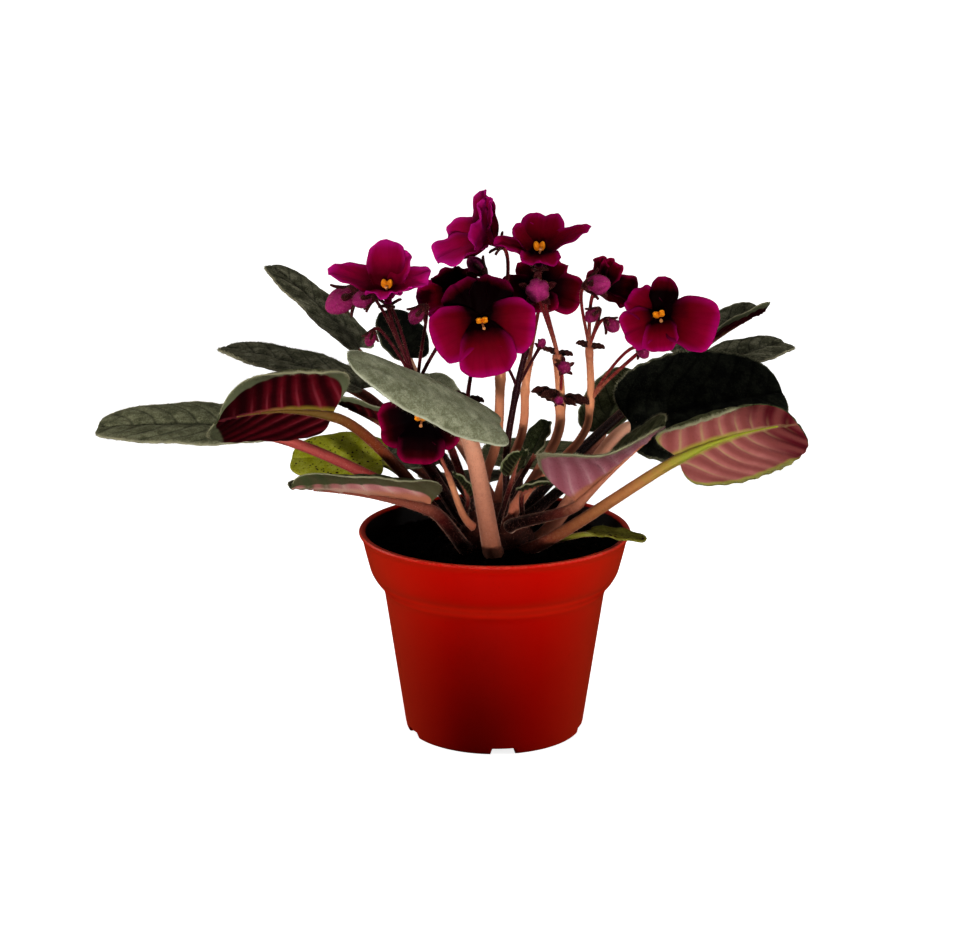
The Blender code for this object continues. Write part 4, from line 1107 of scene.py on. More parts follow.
@dataclass(frozen=True)
class Crown:
    """The short stem that the leaf stalks and flower stalks grow from."""

    radius: float = 0.0155
    rise: float = 0.0185
    centre: float = 0.071
    foot: float = 0.058
    gap: float = 0.0003
    dome: float = 0.8  # the share of its rows that are above the soil
    scars: float = 0.07  # how deep the scars of old stalks are, against its radius

    def spot(self, azimuth: float, latitude: float) -> tuple[Vector, Vector]:
        """A point just off the crown's surface, and the way that surface faces there."""
        a, b = math.radians(azimuth), math.radians(latitude)
        out = Vector((math.cos(a), math.sin(a), 0))
        point = out * (self.radius * math.cos(b)) + Vector((0, 0, self.rise * math.sin(b)))
        way = out * (math.cos(b) / self.radius) + Vector((0, 0, math.sin(b) / self.rise))
        way.normalize()
        return point + Vector((0, 0, self.centre)) + way * self.gap, way

    def path(self, root: Pair, end: Vector, arrival: Vector, lift: float, steps: int) -> list[Vector]:
        """A path that leaves the crown square to its surface, then swings over to its end."""
        start, way = self.spot(*root)
        foot = start + way * 0.0008
        ahead = (end - foot).normalized() + Vector((0, 0, lift))
        span = (end - foot).length * 0.62
        return [start - way * 0.0015] + bend(foot, (way + ahead).normalized() * span, end,
                                             arrival * span, steps)

    def build(self, down: Down) -> None:
        """Makes the crown, ridged by the scars of old leaf stalks."""
        def shape(u: Array, t: Array) -> Shaped:
            """A dome down to the soil, then a stub into it."""
            latitude = np.radians(90 - 120 * np.clip(u / self.dome, 0, 1))
            spin, stub = t * math.pi, np.clip(u - self.dome, 0, None)
            scars = np.sin(8 * spin + 5 * latitude) * np.cos(latitude) * np.sin(6 * latitude)
            scars = 1 + self.scars * scars
            ring = self.radius * np.cos(latitude) * scars
            ring = np.where(u > 0.999, 0, ring * (1 - 3.5 * stub))
            high = self.centre + self.rise * np.sin(latitude) * scars
            high = high - stub * 5 * (high - self.foot)
            return turned(ring, spin, high), every_mark(u * 0, {ALONG: 0.25 * np.sin(latitude)})

        core = painted(shaped_grid("crown_core", 60, 72, shape), CROWN_BARK)
        hairs = down.sow(core, 0.8, (0.0003, 0.0008), PINK_DOWN)
        settle(joined("crown_body", [core, hairs]), "crown")


CROWN = Crown()


@dataclass(frozen=True)
class Leaf:
    """A leaf: where its stalk leaves the crown, where its blade starts, and how the blade lies.

    fold, curl and flare have one angle for the side to the left of the midrib and one for the right.
    """

    name: str
    skin: Skin
    root: Pair  # azimuth and latitude on the crown
    base: tuple[float, float, float]  # azimuth, distance from the axis and height of the blade's base
    heading: float
    pitch: float
    roll: float
    length: float
    width: float
    stalk: float = 0.0030
    bow: float = 12  # how far the midrib bends down from foot to tip
    fold: Pair = (8, 8)  # how far each side stands up at the midrib
    curl: Pair = (-14, -14)  # how far it bends on towards its edge
    flare: Pair = (0, 0)  # how much more it stands up at its foot
    lift: float = 0  # how much its stalk arches
    join: float = 0  # how far up the blade its stalk meets it, against its length
    sway: float = 0  # how far the blade's tip turns to its left
    quilt: float = 1.0  # how deep its relief and its scallops are
    far_rim: float = 1.0  # how much of the rim's tint its right edge has
    tip_rim: float = 1.0  # how much of it its tip has
    blunt: float = 0.22  # how square its tip is

    thickness: float = 0.0012
    side_veins: float = 6.5
    tooth: float = 0.0036  # metres from one scallop of the edge to the next
    quilting: float = 0.00042  # how high the upper face stands between its veins
    groove: float = 0.00030  # how deep its veins lie
    furrow: float = 0.0006  # how deep its midrib lies
    hollow: float = 0.00034  # how deep the lower face is between its veins
    ridge: float = 0.00045  # how far its veins stand out
    uneven: float = 0.00012

    def sheet(self) -> Sheet:
        """The curved sheet of the blade."""
        azimuth, reach, height = self.base
        forward = heading(self.heading, self.pitch)
        level = heading(self.heading + 90, 0)
        side = Matrix.Rotation(math.radians(self.roll), 3, forward) @ level
        origin = heading(azimuth, 0) * reach + Vector((0, 0, height))
        return Sheet(origin, forward, side, self.length, self.width, self.bow, self.fold, self.curl,
                     self.flare, 0.0004, self.sway)

    def relief(self, chance: np.random.Generator) -> Relief:
        """The quilting of the upper face and the raised veins of the lower one."""
        phases = chance.uniform(0, 2 * math.pi, 6)
        scale = self.quilt * min(1.0, self.length / 0.045)

        def heights(x: Array, y: Array, rim: Array) -> Faces:
            """The upper and lower heights and the marks at each place."""
            a, b = x / self.length, np.abs(y) / (self.width / 2)
            stray = 0.20 * np.sin(7 * a + phases[0] + np.sign(y)) + 0.09 * np.sin(6 * b + 5 * a + phases[1])
            vein = self.side_veins * (a - 0.17 * b - 0.17 * b**2) + 0.25 * np.sign(y) + stray
            away = np.abs(vein - np.rint(vein))
            line = np.exp(-((away / 0.07) ** 2)) * (1 - 0.85 * rim**3)
            rib_width = self.stalk * np.clip(1.0 - 0.85 * a, 0.12, 1)
            rib = np.abs(y) / rib_width
            channel = np.exp(-(rib**2) * 0.7)
            puff = np.sin(np.pi * away) ** 2 * (1 - rim**4)
            sway = sum(np.sin(k * 90 * x + phases[k]) * np.sin((k + 1) * 80 * y + phases[k + 3])
                       for k in range(3))
            half = self.thickness / 2 * (1 - 0.62 * rim**7)
            upper = half + scale * (self.quilting * puff - self.groove * line - self.furrow * channel
                                    + self.uneven * sway)
            lower = -half + scale * (self.hollow * puff - self.ridge * line + self.uneven * sway)
            far = self.far_rim + (1 - self.far_rim) * np.clip((a - 0.7) / 0.2, 0, 1)
            tip = 1 - (1 - self.tip_rim) * np.clip((a - 0.72) / 0.16, 0, 1)
            return upper, lower, {ALONG: a, RIM: rim * tip * np.where(y < 0, far, 1), VEIN: vein, RIB: rib,
                                  TONE: rim * 0}

        return heights

    def blade(self, chance: np.random.Generator) -> Piece:
        """The blade, with its scalloped edge."""
        teeth, phase = self.length / self.tooth, chance.uniform(0, 6)

        def waver(u: Array, t: Array) -> Array:
            """The scallops, with a slow unevenness."""
            slow = 0.010 * np.sin(9 * u + phase + np.sign(t))
            return self.quilt * (0.016 * np.cos(2 * math.pi * teeth * u + phase) + slow) * np.abs(t) ** 5

        rows = max(28, round(self.length / 0.00075))
        columns = 2 * max(8, round(self.width / 0.0025))
        return shell(self.name + "_blade", self.sheet(), functools.partial(leaf_outline, blunt=self.blunt),
                     (rows, columns), self.relief(chance), waver,
                     (self.skin.value.face, self.skin.value.underside))

    def stem(self) -> Piece:
        """The leaf's own stalk, which leaves the crown and runs on as a thinning midrib."""
        sheet, start = self.sheet(), self.length * self.join
        arrival = (sheet.forward + Vector((0, 0, 4 * self.join))).normalized()
        route = CROWN.path(self.root, sheet.spot(start, -self.stalk * 0.78 - 0.0002), arrival, self.lift, 26)
        last = len(route) - 1
        radii = [self.stalk * (1 - 0.22 * i / last) * (1 + 0.16 * math.exp(-i / 3)) for i in range(last + 1)]
        along = [0.80 * i / last for i in range(last + 1)]
        ribs = 16
        for share in (i / ribs for i in range(1, ribs + 1)):
            radius = self.stalk * (0.12 + 0.66 * (1 - share) ** 2.2)
            route.append(sheet.spot(start + (self.length * 0.84 - start) * share, -radius * 0.92 - 0.0003))
            radii.append(radius)
            along.append(0.80 + 0.2 * share**0.5)
        return painted(swept(self.name + "_stem", route, radii, 14, along), self.skin.value.stalk)

    def build(self, seed: int) -> None:
        """Makes the leaf with its down, in its node's place."""
        chance = np.random.default_rng(seed)
        down = Down(seed + 500)
        blade, stem = self.blade(chance), self.stem()
        parts = [blade, stem,
                 down.sow(blade, 0.7, (0.0003, 0.0006), MOSS_DOWN, lean=0.25),
                 down.sow(blade, 7.0, (0.0006, 0.0013), SILVER_DOWN, least_rim=0.92),
                 down.sow(stem, 2.4, (0.0003, 0.0008), PINK_DOWN, lean=0.3)]
        settle(joined(self.name + "_skin", parts), self.name)


@dataclass(frozen=True)
class Petal:
    """One petal of a flower."""

    angle: float  # round the face
    length: float
    width: float
    opening: float  # how far it stands forward
    back: float  # how far its foot lies behind the face
    shade: float = 0.0


def petals(*rows: tuple[float, ...]) -> tuple[Petal, ...]:
    """Petals from rows of their values."""
    return tuple(Petal(*row) for row in rows)


class Face(Enum):
    """How a flower's five petals lie."""

    OPEN = petals((62, 0.0155, 0.0135, 15, 0.0009, 0.62), (118, 0.0155, 0.0135, 15, 0.0018, 0.56),
                  (196, 0.0180, 0.0180, 15, 0.0000), (344, 0.0180, 0.0180, 15, 0.0000),
                  (270, 0.0190, 0.0190, 15, -0.0010))
    WINGED = petals((62, 0.0185, 0.0120, 56, 0.0009, 0.12), (98, 0.0220, 0.0150, 62, 0.0018, 0.20),
                    (170, 0.0250, 0.0150, 27, 0.0000, 0.16), (354, 0.0190, 0.0180, 38, 0.0000),
                    (268, 0.0105, 0.0130, 34, -0.0010, 0.12))
    CROWNED = petals((78, 0.0180, 0.0160, 48, 0.0009, 0.14), (128, 0.0165, 0.0110, 50, 0.0018, 0.14),
                     (172, 0.0180, 0.0115, 28, 0.0000), (12, 0.0225, 0.0115, 38, 0.0000),
                     (270, 0.0110, 0.0150, 20, -0.0010))
    SPREAD = petals((70, 0.0155, 0.0100, 26, 0.0009, 0.46), (125, 0.0150, 0.0125, 20, 0.0018, 0.12),
                    (190, 0.0145, 0.0150, 15, 0.0000), (330, 0.0212, 0.0205, 12, 0.0000),
                    (262, 0.0135, 0.0130, 15, -0.0010))
    SIDEWISE = petals((62, 0.0165, 0.0115, 46, 0.0009, 0.28), (116, 0.0185, 0.0125, 40, 0.0018, 0.28),
                      (200, 0.0190, 0.0155, 34, 0.0000, 0.14), (20, 0.0185, 0.0150, 56, 0.0000),
                      (255, 0.0190, 0.0190, 50, -0.0010))
    SHALLOW = petals((62, 0.0155, 0.0135, 15, 0.0009), (118, 0.0155, 0.0135, 15, 0.0018),
                     (196, 0.0180, 0.0170, 15, 0.0000), (344, 0.0180, 0.0180, 15, 0.0000),
                     (270, 0.0120, 0.0140, 15, -0.0010))
    CUPPED = petals((62, 0.0165, 0.0125, 36, 0.0009), (118, 0.0165, 0.0125, 36, 0.0018),
                    (196, 0.0190, 0.0155, 34, 0.0000), (344, 0.0190, 0.0155, 34, 0.0000),
                    (270, 0.0190, 0.0155, 38, -0.0010))


@dataclass(frozen=True)
class Bloom:
    """A flower: the middle of its face, the way it faces, and the fork of the stalk it hangs from."""

    name: str
    stalk: str
    velvet: Velvet
    centre: Spot
    azimuth: float
    elevation: float
    roll: float = 0
    size: float = 1.0
    face: Face = Face.OPEN
    fork: int = -1
    shade: float = 0.0  # how much darker all its petals are

    hub_back: float = 0.0040
    hub_front: float = 0.0022
    hub_radius: float = 0.0022
    anther: Spot = (0.0013, 0.0010, 0.0018)
    ruffle: float = 0.0011  # how far its petals' edges wave

    def stand(self) -> Matrix:
        """Where the flower's face stands."""
        return facing(self.azimuth, self.elevation, self.roll, self.centre)

    def petal(self, index: int, petal: Petal, chance: np.random.Generator) -> Piece:
        """One petal, ruffled at its edge and veined like a fan."""
        forward = heading(petal.angle, petal.opening)
        side = heading(petal.angle + 90, 0)
        sheet = Sheet(Vector((0, 0, -petal.back)), forward, side, petal.length * self.size,
                      petal.width * self.size, 22, (4, 4), (14, 14), ripple=0.0005)
        phase = chance.uniform(0, 6, 6)
        taper = min(max(petal.length / petal.width - 1.3, 0) * 2, 1)

        def waver(u: Array, t: Array) -> Array:
            """Makes the edge a little uneven."""
            return (0.05 * np.sin(7 * u + phase[0] + 2 * np.sign(t)) + 0.014 * np.sin(23 * u + phase[1])
                    ) * np.abs(t) ** 4

        def relief(x: Array, y: Array, rim: Array) -> Faces:
            """Slow waves, faint fan veins and a thickness that thins to the edge."""
            a = x / sheet.length
            across = y / (sheet.width / 2)
            edge = np.clip(np.maximum(rim, a), 0, 1) ** 3
            fan = np.arctan2(across, a + 0.25) * 5.2
            waves = np.sin(1.3 * fan + phase[2]) + 0.35 * np.sin(3.1 * fan + phase[3])
            ruffle = self.ruffle * (1 - 0.6 * taper) * self.size * edge * waves
            crease = -0.00025 * np.exp(-((across / 0.2) ** 2)) * a
            sway = 0.0005 * np.sin(6 * a + phase[4]) * np.sin(3 * across + phase[5])
            middle = ruffle + crease + sway
            half = 0.00030 * (1 - 0.5 * edge)
            return (middle + half, middle - half,
                    {ALONG: a, RIM: np.maximum(rim, np.clip(a, 0, 1) ** 2), VEIN: fan + 0.5, RIB: rim * 0,
                     TONE: np.full_like(a, petal.shade + self.shade)})

        return shell(f"{self.name}_petal_{index}", sheet, functools.partial(petal_outline, taper=taper),
                     (26, 24), relief, waver, (self.velvet.value, self.velvet.value))

    def build(self, seed: int) -> None:
        """Makes the petals round their throat, and the anthers on it."""
        chance = np.random.default_rng(seed)
        stand = self.stand()
        parts = [self.petal(i, petal, chance) for i, petal in enumerate(self.face.value)]
        for part in parts:
            part.data.transform(stand)
        reach = [-self.hub_back, -0.002, -0.0005, 0.0006, 0.0014, self.hub_front]
        wide = [self.hub_radius * share for share in (0.6, 0.72, 0.85, 0.95, 0.8, 0.55)]
        throat = swept(self.name + "_throat", [stand @ Vector((0, 0, z)) for z in reach], wide, 20,
                       [0.2, 0.1, 0, 0, 0, 0])
        settle(joined(self.name + "_corolla", parts + [painted(throat, self.velvet.value)]),
               self.name)
        self.build_anthers(stand)

    def build_anthers(self, stand: Matrix) -> None:
        """Makes the two grooved anthers and the style beside them."""
        lobes = []
        size = tuple(0.98 * half for half in self.anther)
        seat = self.hub_front + 0.0003 + self.anther[2]
        for side in (-1, 1):
            for fore in (-1, 1):
                spot = Vector((side * self.anther[0] * 0.80, fore * 0.00042, seat))
                tilt = Matrix.Rotation(math.radians(side * 12), 4, "Y")
                # Its marks run from the back of the lobe to its front, which its finish paints lit.
                lobe = ball(f"{self.name}_lobe_{side}_{fore}", stand @ Matrix.Translation(spot) @ tilt,
                            (size[0] * 0.92, size[1] * 0.8, size[2]), 14, 16, 0.12, 0.05, (0.05, 0.55))
                lobes.append(painted(lobe, POLLEN))
        turn = stand.to_3x3()
        path = bend(stand @ Vector((0, -0.0008, self.hub_front - 0.0006)), turn @ Vector((0, -0.002, 0.003)),
                    stand @ Vector((0.0003, -0.0030, self.hub_front + 0.0026)),
                    turn @ Vector((0, -0.001, 0.003)), 8)
        style = swept(self.name + "_style", path, [0.0004] * 7 + [0.00055, 0.0007], 8,
                      [0.1 * i for i in range(9)])
        node = self.name.replace("bloom", "anthers")
        settle(joined(node + "_pair", lobes + [painted(style, STYLE_SKIN)]), node)


@dataclass(frozen=True)
class Bud:
    """A flower bud: its middle, the way it points, its radius and its length."""

    centre: Spot
    azimuth: float
    elevation: float
    radius: float
    length: float
    fork: int = -1


@dataclass(frozen=True)
class Stalk:
    """A flower stalk: where it leaves the crown, the points it passes, and what it carries."""

    name: str
    skin: StalkSkin
    root: Pair
    route: tuple[Spot, ...]
    radius: float
    buds: tuple[Bud, ...] = ()
    bracts: tuple[tuple[int, float, float], ...] = ()  # the fork, azimuth and length of each small leaf

    calyx_height: float = 0.0026
    calyx_radius: float = 0.0021
    sepal: float = 0.0042
    open_bud: float = 0.003  # the radius above which a bud's tip is paler
    steps: int = 12

    def trunk(self) -> tuple[list[Vector], Piece]:
        """The main stalk, with its route from the crown."""
        start, way = CROWN.spot(*self.root)
        route = smooth_route([start + way * 0.0008, *map(Vector, self.route)], way, self.steps)
        last = len(route)
        radii = [self.radius * (1 - 0.2 * i / last) * (1 + 0.3 * math.exp(-i / 3)) for i in range(last + 1)]
        forks = [self.steps * i for i in range(2, len(self.route) + 1)]
        for fork in forks:
            for i in range(last + 1):
                radii[i] *= 1 + 0.22 * math.exp(-((i - fork) / 1.3) ** 2)
        along = [0.75 * i / last for i in range(last + 1)]
        rod = swept(self.name + "_trunk", [start - way * 0.001] + route, radii, 12, along)
        return route, painted(rod, self.skin)

    def ends(self, blooms: Sequence[Bloom]) -> list[tuple[Matrix, int, Bud | None]]:
        """Where each flower and bud of this stalk sits, and the fork that it comes from."""
        found: list[tuple[Matrix, int, Bud | None]] = []
        for bloom in blooms:
            if bloom.stalk == self.name:
                back = Matrix.Translation((0, 0, -bloom.hub_back - CROWN.gap))
                found.append((bloom.stand() @ back, bloom.fork, None))
        for bud in self.buds:
            found.append((facing(bud.azimuth, bud.elevation, 0, bud.centre), bud.fork, bud))
        return found

    def sepals(self, name: str, stand: Matrix, size: float, hug: float) -> list[Piece]:
        """The cup behind a flower or bud, with its five narrow sepals.

        Args:
            name: What the parts' names start with.
            stand: Where the cup's rim stands, with +Z towards the flower.
            size: The cup's size against a flower's.
            hug: How steeply the sepals stand, in degrees.

        Returns:
            The cup and the sepals.
        """
        high, wide = self.calyx_height * size, self.calyx_radius * size
        line = [stand @ Vector((0, 0, -high * (1 - i / 4))) for i in range(5)]
        cup = swept(name + "_cup", line, [wide * w for w in (0.35, 0.62, 0.85, 0.96, 0.8)], 12,
                    [0.1, 0.2, 0.3, 0.3, 0.3])
        parts = [painted(cup, CALYX_SKIN)]
        for i in range(5):
            forward = heading(72 * i + 20, hug)
            side = heading(72 * i + 110, 0)
            foot = heading(72 * i + 20, 0) * wide * 0.7 + Vector((0, 0, -high * 0.35))
            sheet = Sheet(foot, forward, side, self.sepal * size, 0.0017 * size, 20, (20, 20), (0, 0))
            parts.append(self.leaflet(f"{name}_sepal_{i}", sheet, stand, CALYX_SKIN, (8, 4)))
        return parts

    def leaflet(self, name: str, sheet: Sheet, stand: Matrix, skin: SoftSkin,
                size: tuple[int, int]) -> Piece:
        """A small thick blade, such as a sepal or a bract."""
        def relief(x: Array, y: Array, rim: Array) -> Faces:
            """A keel under the midrib, and thin edges."""
            half = 0.00028 * (1 - 0.6 * rim**4)
            keel = 0.00025 * np.exp(-((y / (sheet.width * 0.12)) ** 2))
            return half, -half - keel, every_mark(x * 0, {ALONG: 0.4 * x / sheet.length, RIM: rim})

        piece = shell(name, sheet, functools.partial(leaf_outline, blunt=0.2), size, relief,
                      lambda u, t: 0.13 * np.sin(34 * u) * np.abs(t) ** 3, (skin, skin))
        piece.data.transform(stand)
        return piece

    def bud(self, name: str, stand: Matrix, bud: Bud) -> Piece:
        """A closed bud, pleated where its petals fold over each other."""
        size = (bud.radius, bud.radius, bud.length / 2)
        tip = 0.55 if bud.radius > self.open_bud else 0.25
        return painted(ball(name + "_bud", stand, size, 22, 40, 0.30, 0.10, (-0.1, tip)), BUD_FELT)

    def build(self, blooms: Sequence[Bloom], seed: int) -> None:
        """Makes the stalk with its branches, cups, buds and bracts, in its node's place."""
        down = Down(seed)
        route, rod = self.trunk()
        woody, soft = [rod], []
        for i, (stand, fork, bud) in enumerate(self.ends(blooms)):
            name, size = f"{self.name}_{i}", 1.0
            spot = len(route) - 1 if fork < 0 else min(fork * self.steps, len(route) - 1)
            top = route[spot]
            ahead = (top - route[spot - 1]).normalized()
            face = stand.to_3x3() @ Vector((0, 0, 1))
            if bud:
                soft.append(self.bud(name, stand, bud))
                size = bud.radius / self.calyx_radius * 0.8
                stand = stand @ Matrix.Translation((0, 0, -bud.length * 0.28))
            seat = stand @ Vector((0, 0, -self.calyx_height * size * 0.6))
            span = (seat - top).length
            leave = (ahead + (seat - top).normalized()).normalized()
            radius, last = 0.0006 if bud else 0.0007, 14
            path = bend(top - leave * 0.0006, leave * span * 0.7, seat, face * span * 0.7, last)
            swell = [radius * (1 + 0.5 * math.exp(-k / 1.5) + 0.35 * math.exp(-(last - k) / 1.5))
                     for k in range(last + 1)]
            branch = swept(name + "_branch", path, swell, 8, [0.75 + 0.02 * k for k in range(last + 1)])
            woody.append(painted(branch, self.skin))
            soft += self.sepals(name, stand, size, 62 if bud else 35)
        for number, (fork, azimuth, length) in enumerate(self.bracts):
            rise, roll = (40, 58) if 90 < azimuth < 270 else (16, -58)
            forward = heading(azimuth, rise)
            side = Matrix.Rotation(math.radians(roll), 3, forward)
            sheet = Sheet(route[fork * self.steps] - forward * 0.0004, forward,
                          side @ heading(azimuth + 90, 0), length, length * 0.52, 50, (26, 26), (-30, -30))
            soft.append(self.leaflet(f"{self.name}_bract_{number}", sheet, Matrix(), BRACT_SKIN, (30, 12)))
        stems = joined(self.name + "_stems", woody)
        parts = [stems, down.sow(stems, 1.6, (0.0006, 0.0012), PINK_DOWN, radius=0.00004, lean=0.3)]
        if soft:
            fleshy = joined(self.name + "_soft", soft)
            parts += [fleshy, down.sow(fleshy, 2.0, (0.0004, 0.0009), PINK_DOWN, radius=0.00004)]
        settle(joined(self.name + "_spray", parts), self.name)


@dataclass(frozen=True)
class Pot:
    """The nursery pot: a tapered wall with a deep rim band, a notched foot and a floor with drain holes."""

    rim: float = 0.0525
    height: float = 0.080
    wall: float = 0.0012
    neck: float = 0.0432
    neck_height: float = 0.0593
    foot: float = 0.0345
    foot_width: float = 0.0024
    floor: float = 0.0030
    pad: float = 0.015
    notches: int = 5
    notch_width: float = 0.0095
    notch_height: float = 0.0026
    first_notch: float = -84.8
    drain: float = 0.0027
    drain_ring: float = 0.024
    sides: int = 240
    # The rim band: how far in from the rim, and how far down from the top on its outside and inside.
    band: tuple[Spot, ...] = ((0.0014, 0.0030, 0), (0.0028, 0.0090, 0.0090), (0.0046, 0.0160, 0.0150),
                              (0.0066, 0.0194, 0.0178))
    corner: float = 0.0016  # how far its rounding reaches from a corner
    lip: float = 0.0012  # how deep the lip's scuffs and painted highlight reach, and the inner wall's painted shade
    step: float = 0.0028  # how far from the step its painted light reaches

    def wall_radius(self, height: float) -> float:
        """The outer radius of the tapered body at a height."""
        return self.foot + (self.neck - self.foot) * height / self.neck_height

    def profile(self) -> list[Pair]:
        """The wall's section, from the lip down its outside, under it and up its inside."""
        rim, top, thick = self.rim, self.height, self.wall
        return [
            (rim - 0.0005, top), (rim, top - 0.0008),
            *((rim - inwards, top - down) for inwards, down, _ in self.band),
            (self.neck + 0.0003, self.neck_height - 0.0014), (self.wall_radius(0.0552), 0.0552),
            (self.wall_radius(0.030), 0.030),
            (self.wall_radius(0.0045), 0.0045), (self.wall_radius(0.0031), 0.0031),
            (self.foot, 0.0008), (self.foot - 0.0006, 0),
            (self.foot - self.foot_width, 0), (self.foot - self.foot_width, self.floor),
            (self.pad + 0.003, self.floor), (self.pad, 0), (0, 0),
            (0, thick), (self.pad - 0.0006, thick), (self.pad + 0.0024, self.floor + thick),
            (self.wall_radius(self.floor + thick) - thick, self.floor + thick),
            (self.wall_radius(self.neck_height) - thick, self.neck_height + 0.0006),
            *((rim - inwards - thick, top - down) for inwards, _, down in reversed(self.band)),
            (rim - 0.0005, top),
        ]

    def rounded(self, steps: int = 3) -> Array:
        """The section with its corners rounded as a mould leaves them."""
        corners = np.array(self.profile())
        line = [corners[0]]
        for before, corner, after in zip(corners, corners[1:], corners[2:]):
            if corner[0] < 1e-6:
                line.append(corner)
                continue
            back, on = before - corner, after - corner
            far_back, far_on = np.linalg.norm(back), np.linalg.norm(on)
            cut = min(self.corner, far_back * 0.42, far_on * 0.42)
            one, two = corner + back / far_back * cut, corner + on / far_on * cut
            for i in range(steps + 1):
                s = i / steps
                line.append(one * (1 - s) ** 2 + corner * 2 * s * (1 - s) + two * s**2)
        line.append(corners[0])
        return np.array(line)

    def inside_from(self, line: Array) -> int:
        """The last point of the section that is outside, which is the middle of the underside."""
        return int(np.argmin(line[:, 0]))

    def shape(self, u: Array, t: Array) -> Shaped:
        """Turns the section about the axis and lifts the foot at its notches."""
        line = self.rounded()
        row = np.rint(u * (len(line) - 1)).astype(int)
        ring, high = line[row, 0], line[row, 1].copy()
        spin = t * math.pi
        turn = np.degrees(spin) - self.first_notch
        off = np.abs((turn + 180 / self.notches) % (360 / self.notches) - 180 / self.notches)
        inside = np.radians(off) * self.foot < self.notch_width / 2
        foot = (ring > self.foot - self.foot_width - 0.0003) & (high < self.notch_height)
        high = np.where(inside & foot, self.notch_height, high)
        # The lip's mark, for its scuffs and painted highlight.
        lip = np.clip(1 - np.abs(high - self.height) / self.lip, 0, 1) * (ring > self.rim - 0.0016)
        # The step's mark, for the painted light on it.
        step = np.clip(1.4 - 1.4 * np.abs(high - self.neck_height - 0.0003) / self.step, 0, 0.6)
        # Painted shade on the inner wall, from just under the lip down to the soil.
        painted_inner_shade = np.clip((self.height - 0.0002 - high) / self.lip, 0, 1)
        painted_inner_shade = np.where(row > self.inside_from(line), painted_inner_shade, 0)
        marks = {RIM: lip * 0.9, TONE: painted_inner_shade, ALONG: u, VEIN: step}
        return turned(ring, spin, high), marks

    def build(self) -> None:
        """Makes the pot and bores its drain holes."""
        pot = shaped_grid("pot_shell", len(self.rounded()) - 1, self.sides, self.shape)
        turns = (self.first_notch + 360 / self.notches * i for i in range(self.notches))
        bit = joined("drain_bits", [
            added(bpy.ops.mesh.primitive_cylinder_add, vertices=28, radius=self.drain, depth=0.02,
                  location=heading(turn, 0) * self.drain_ring) for turn in turns])
        modified(pot, "BOOLEAN", operation="DIFFERENCE", object=bit)
        bpy.data.objects.remove(bit)
        pot.data.materials.clear()
        painted(pot, POT_SKIN)
        pot.data.polygons.foreach_set("material_index", [0] * len(pot.data.polygons))
        activate(pot)
        bpy.ops.object.shade_smooth_by_angle(angle=math.radians(50))
        settle(pot, "pot")


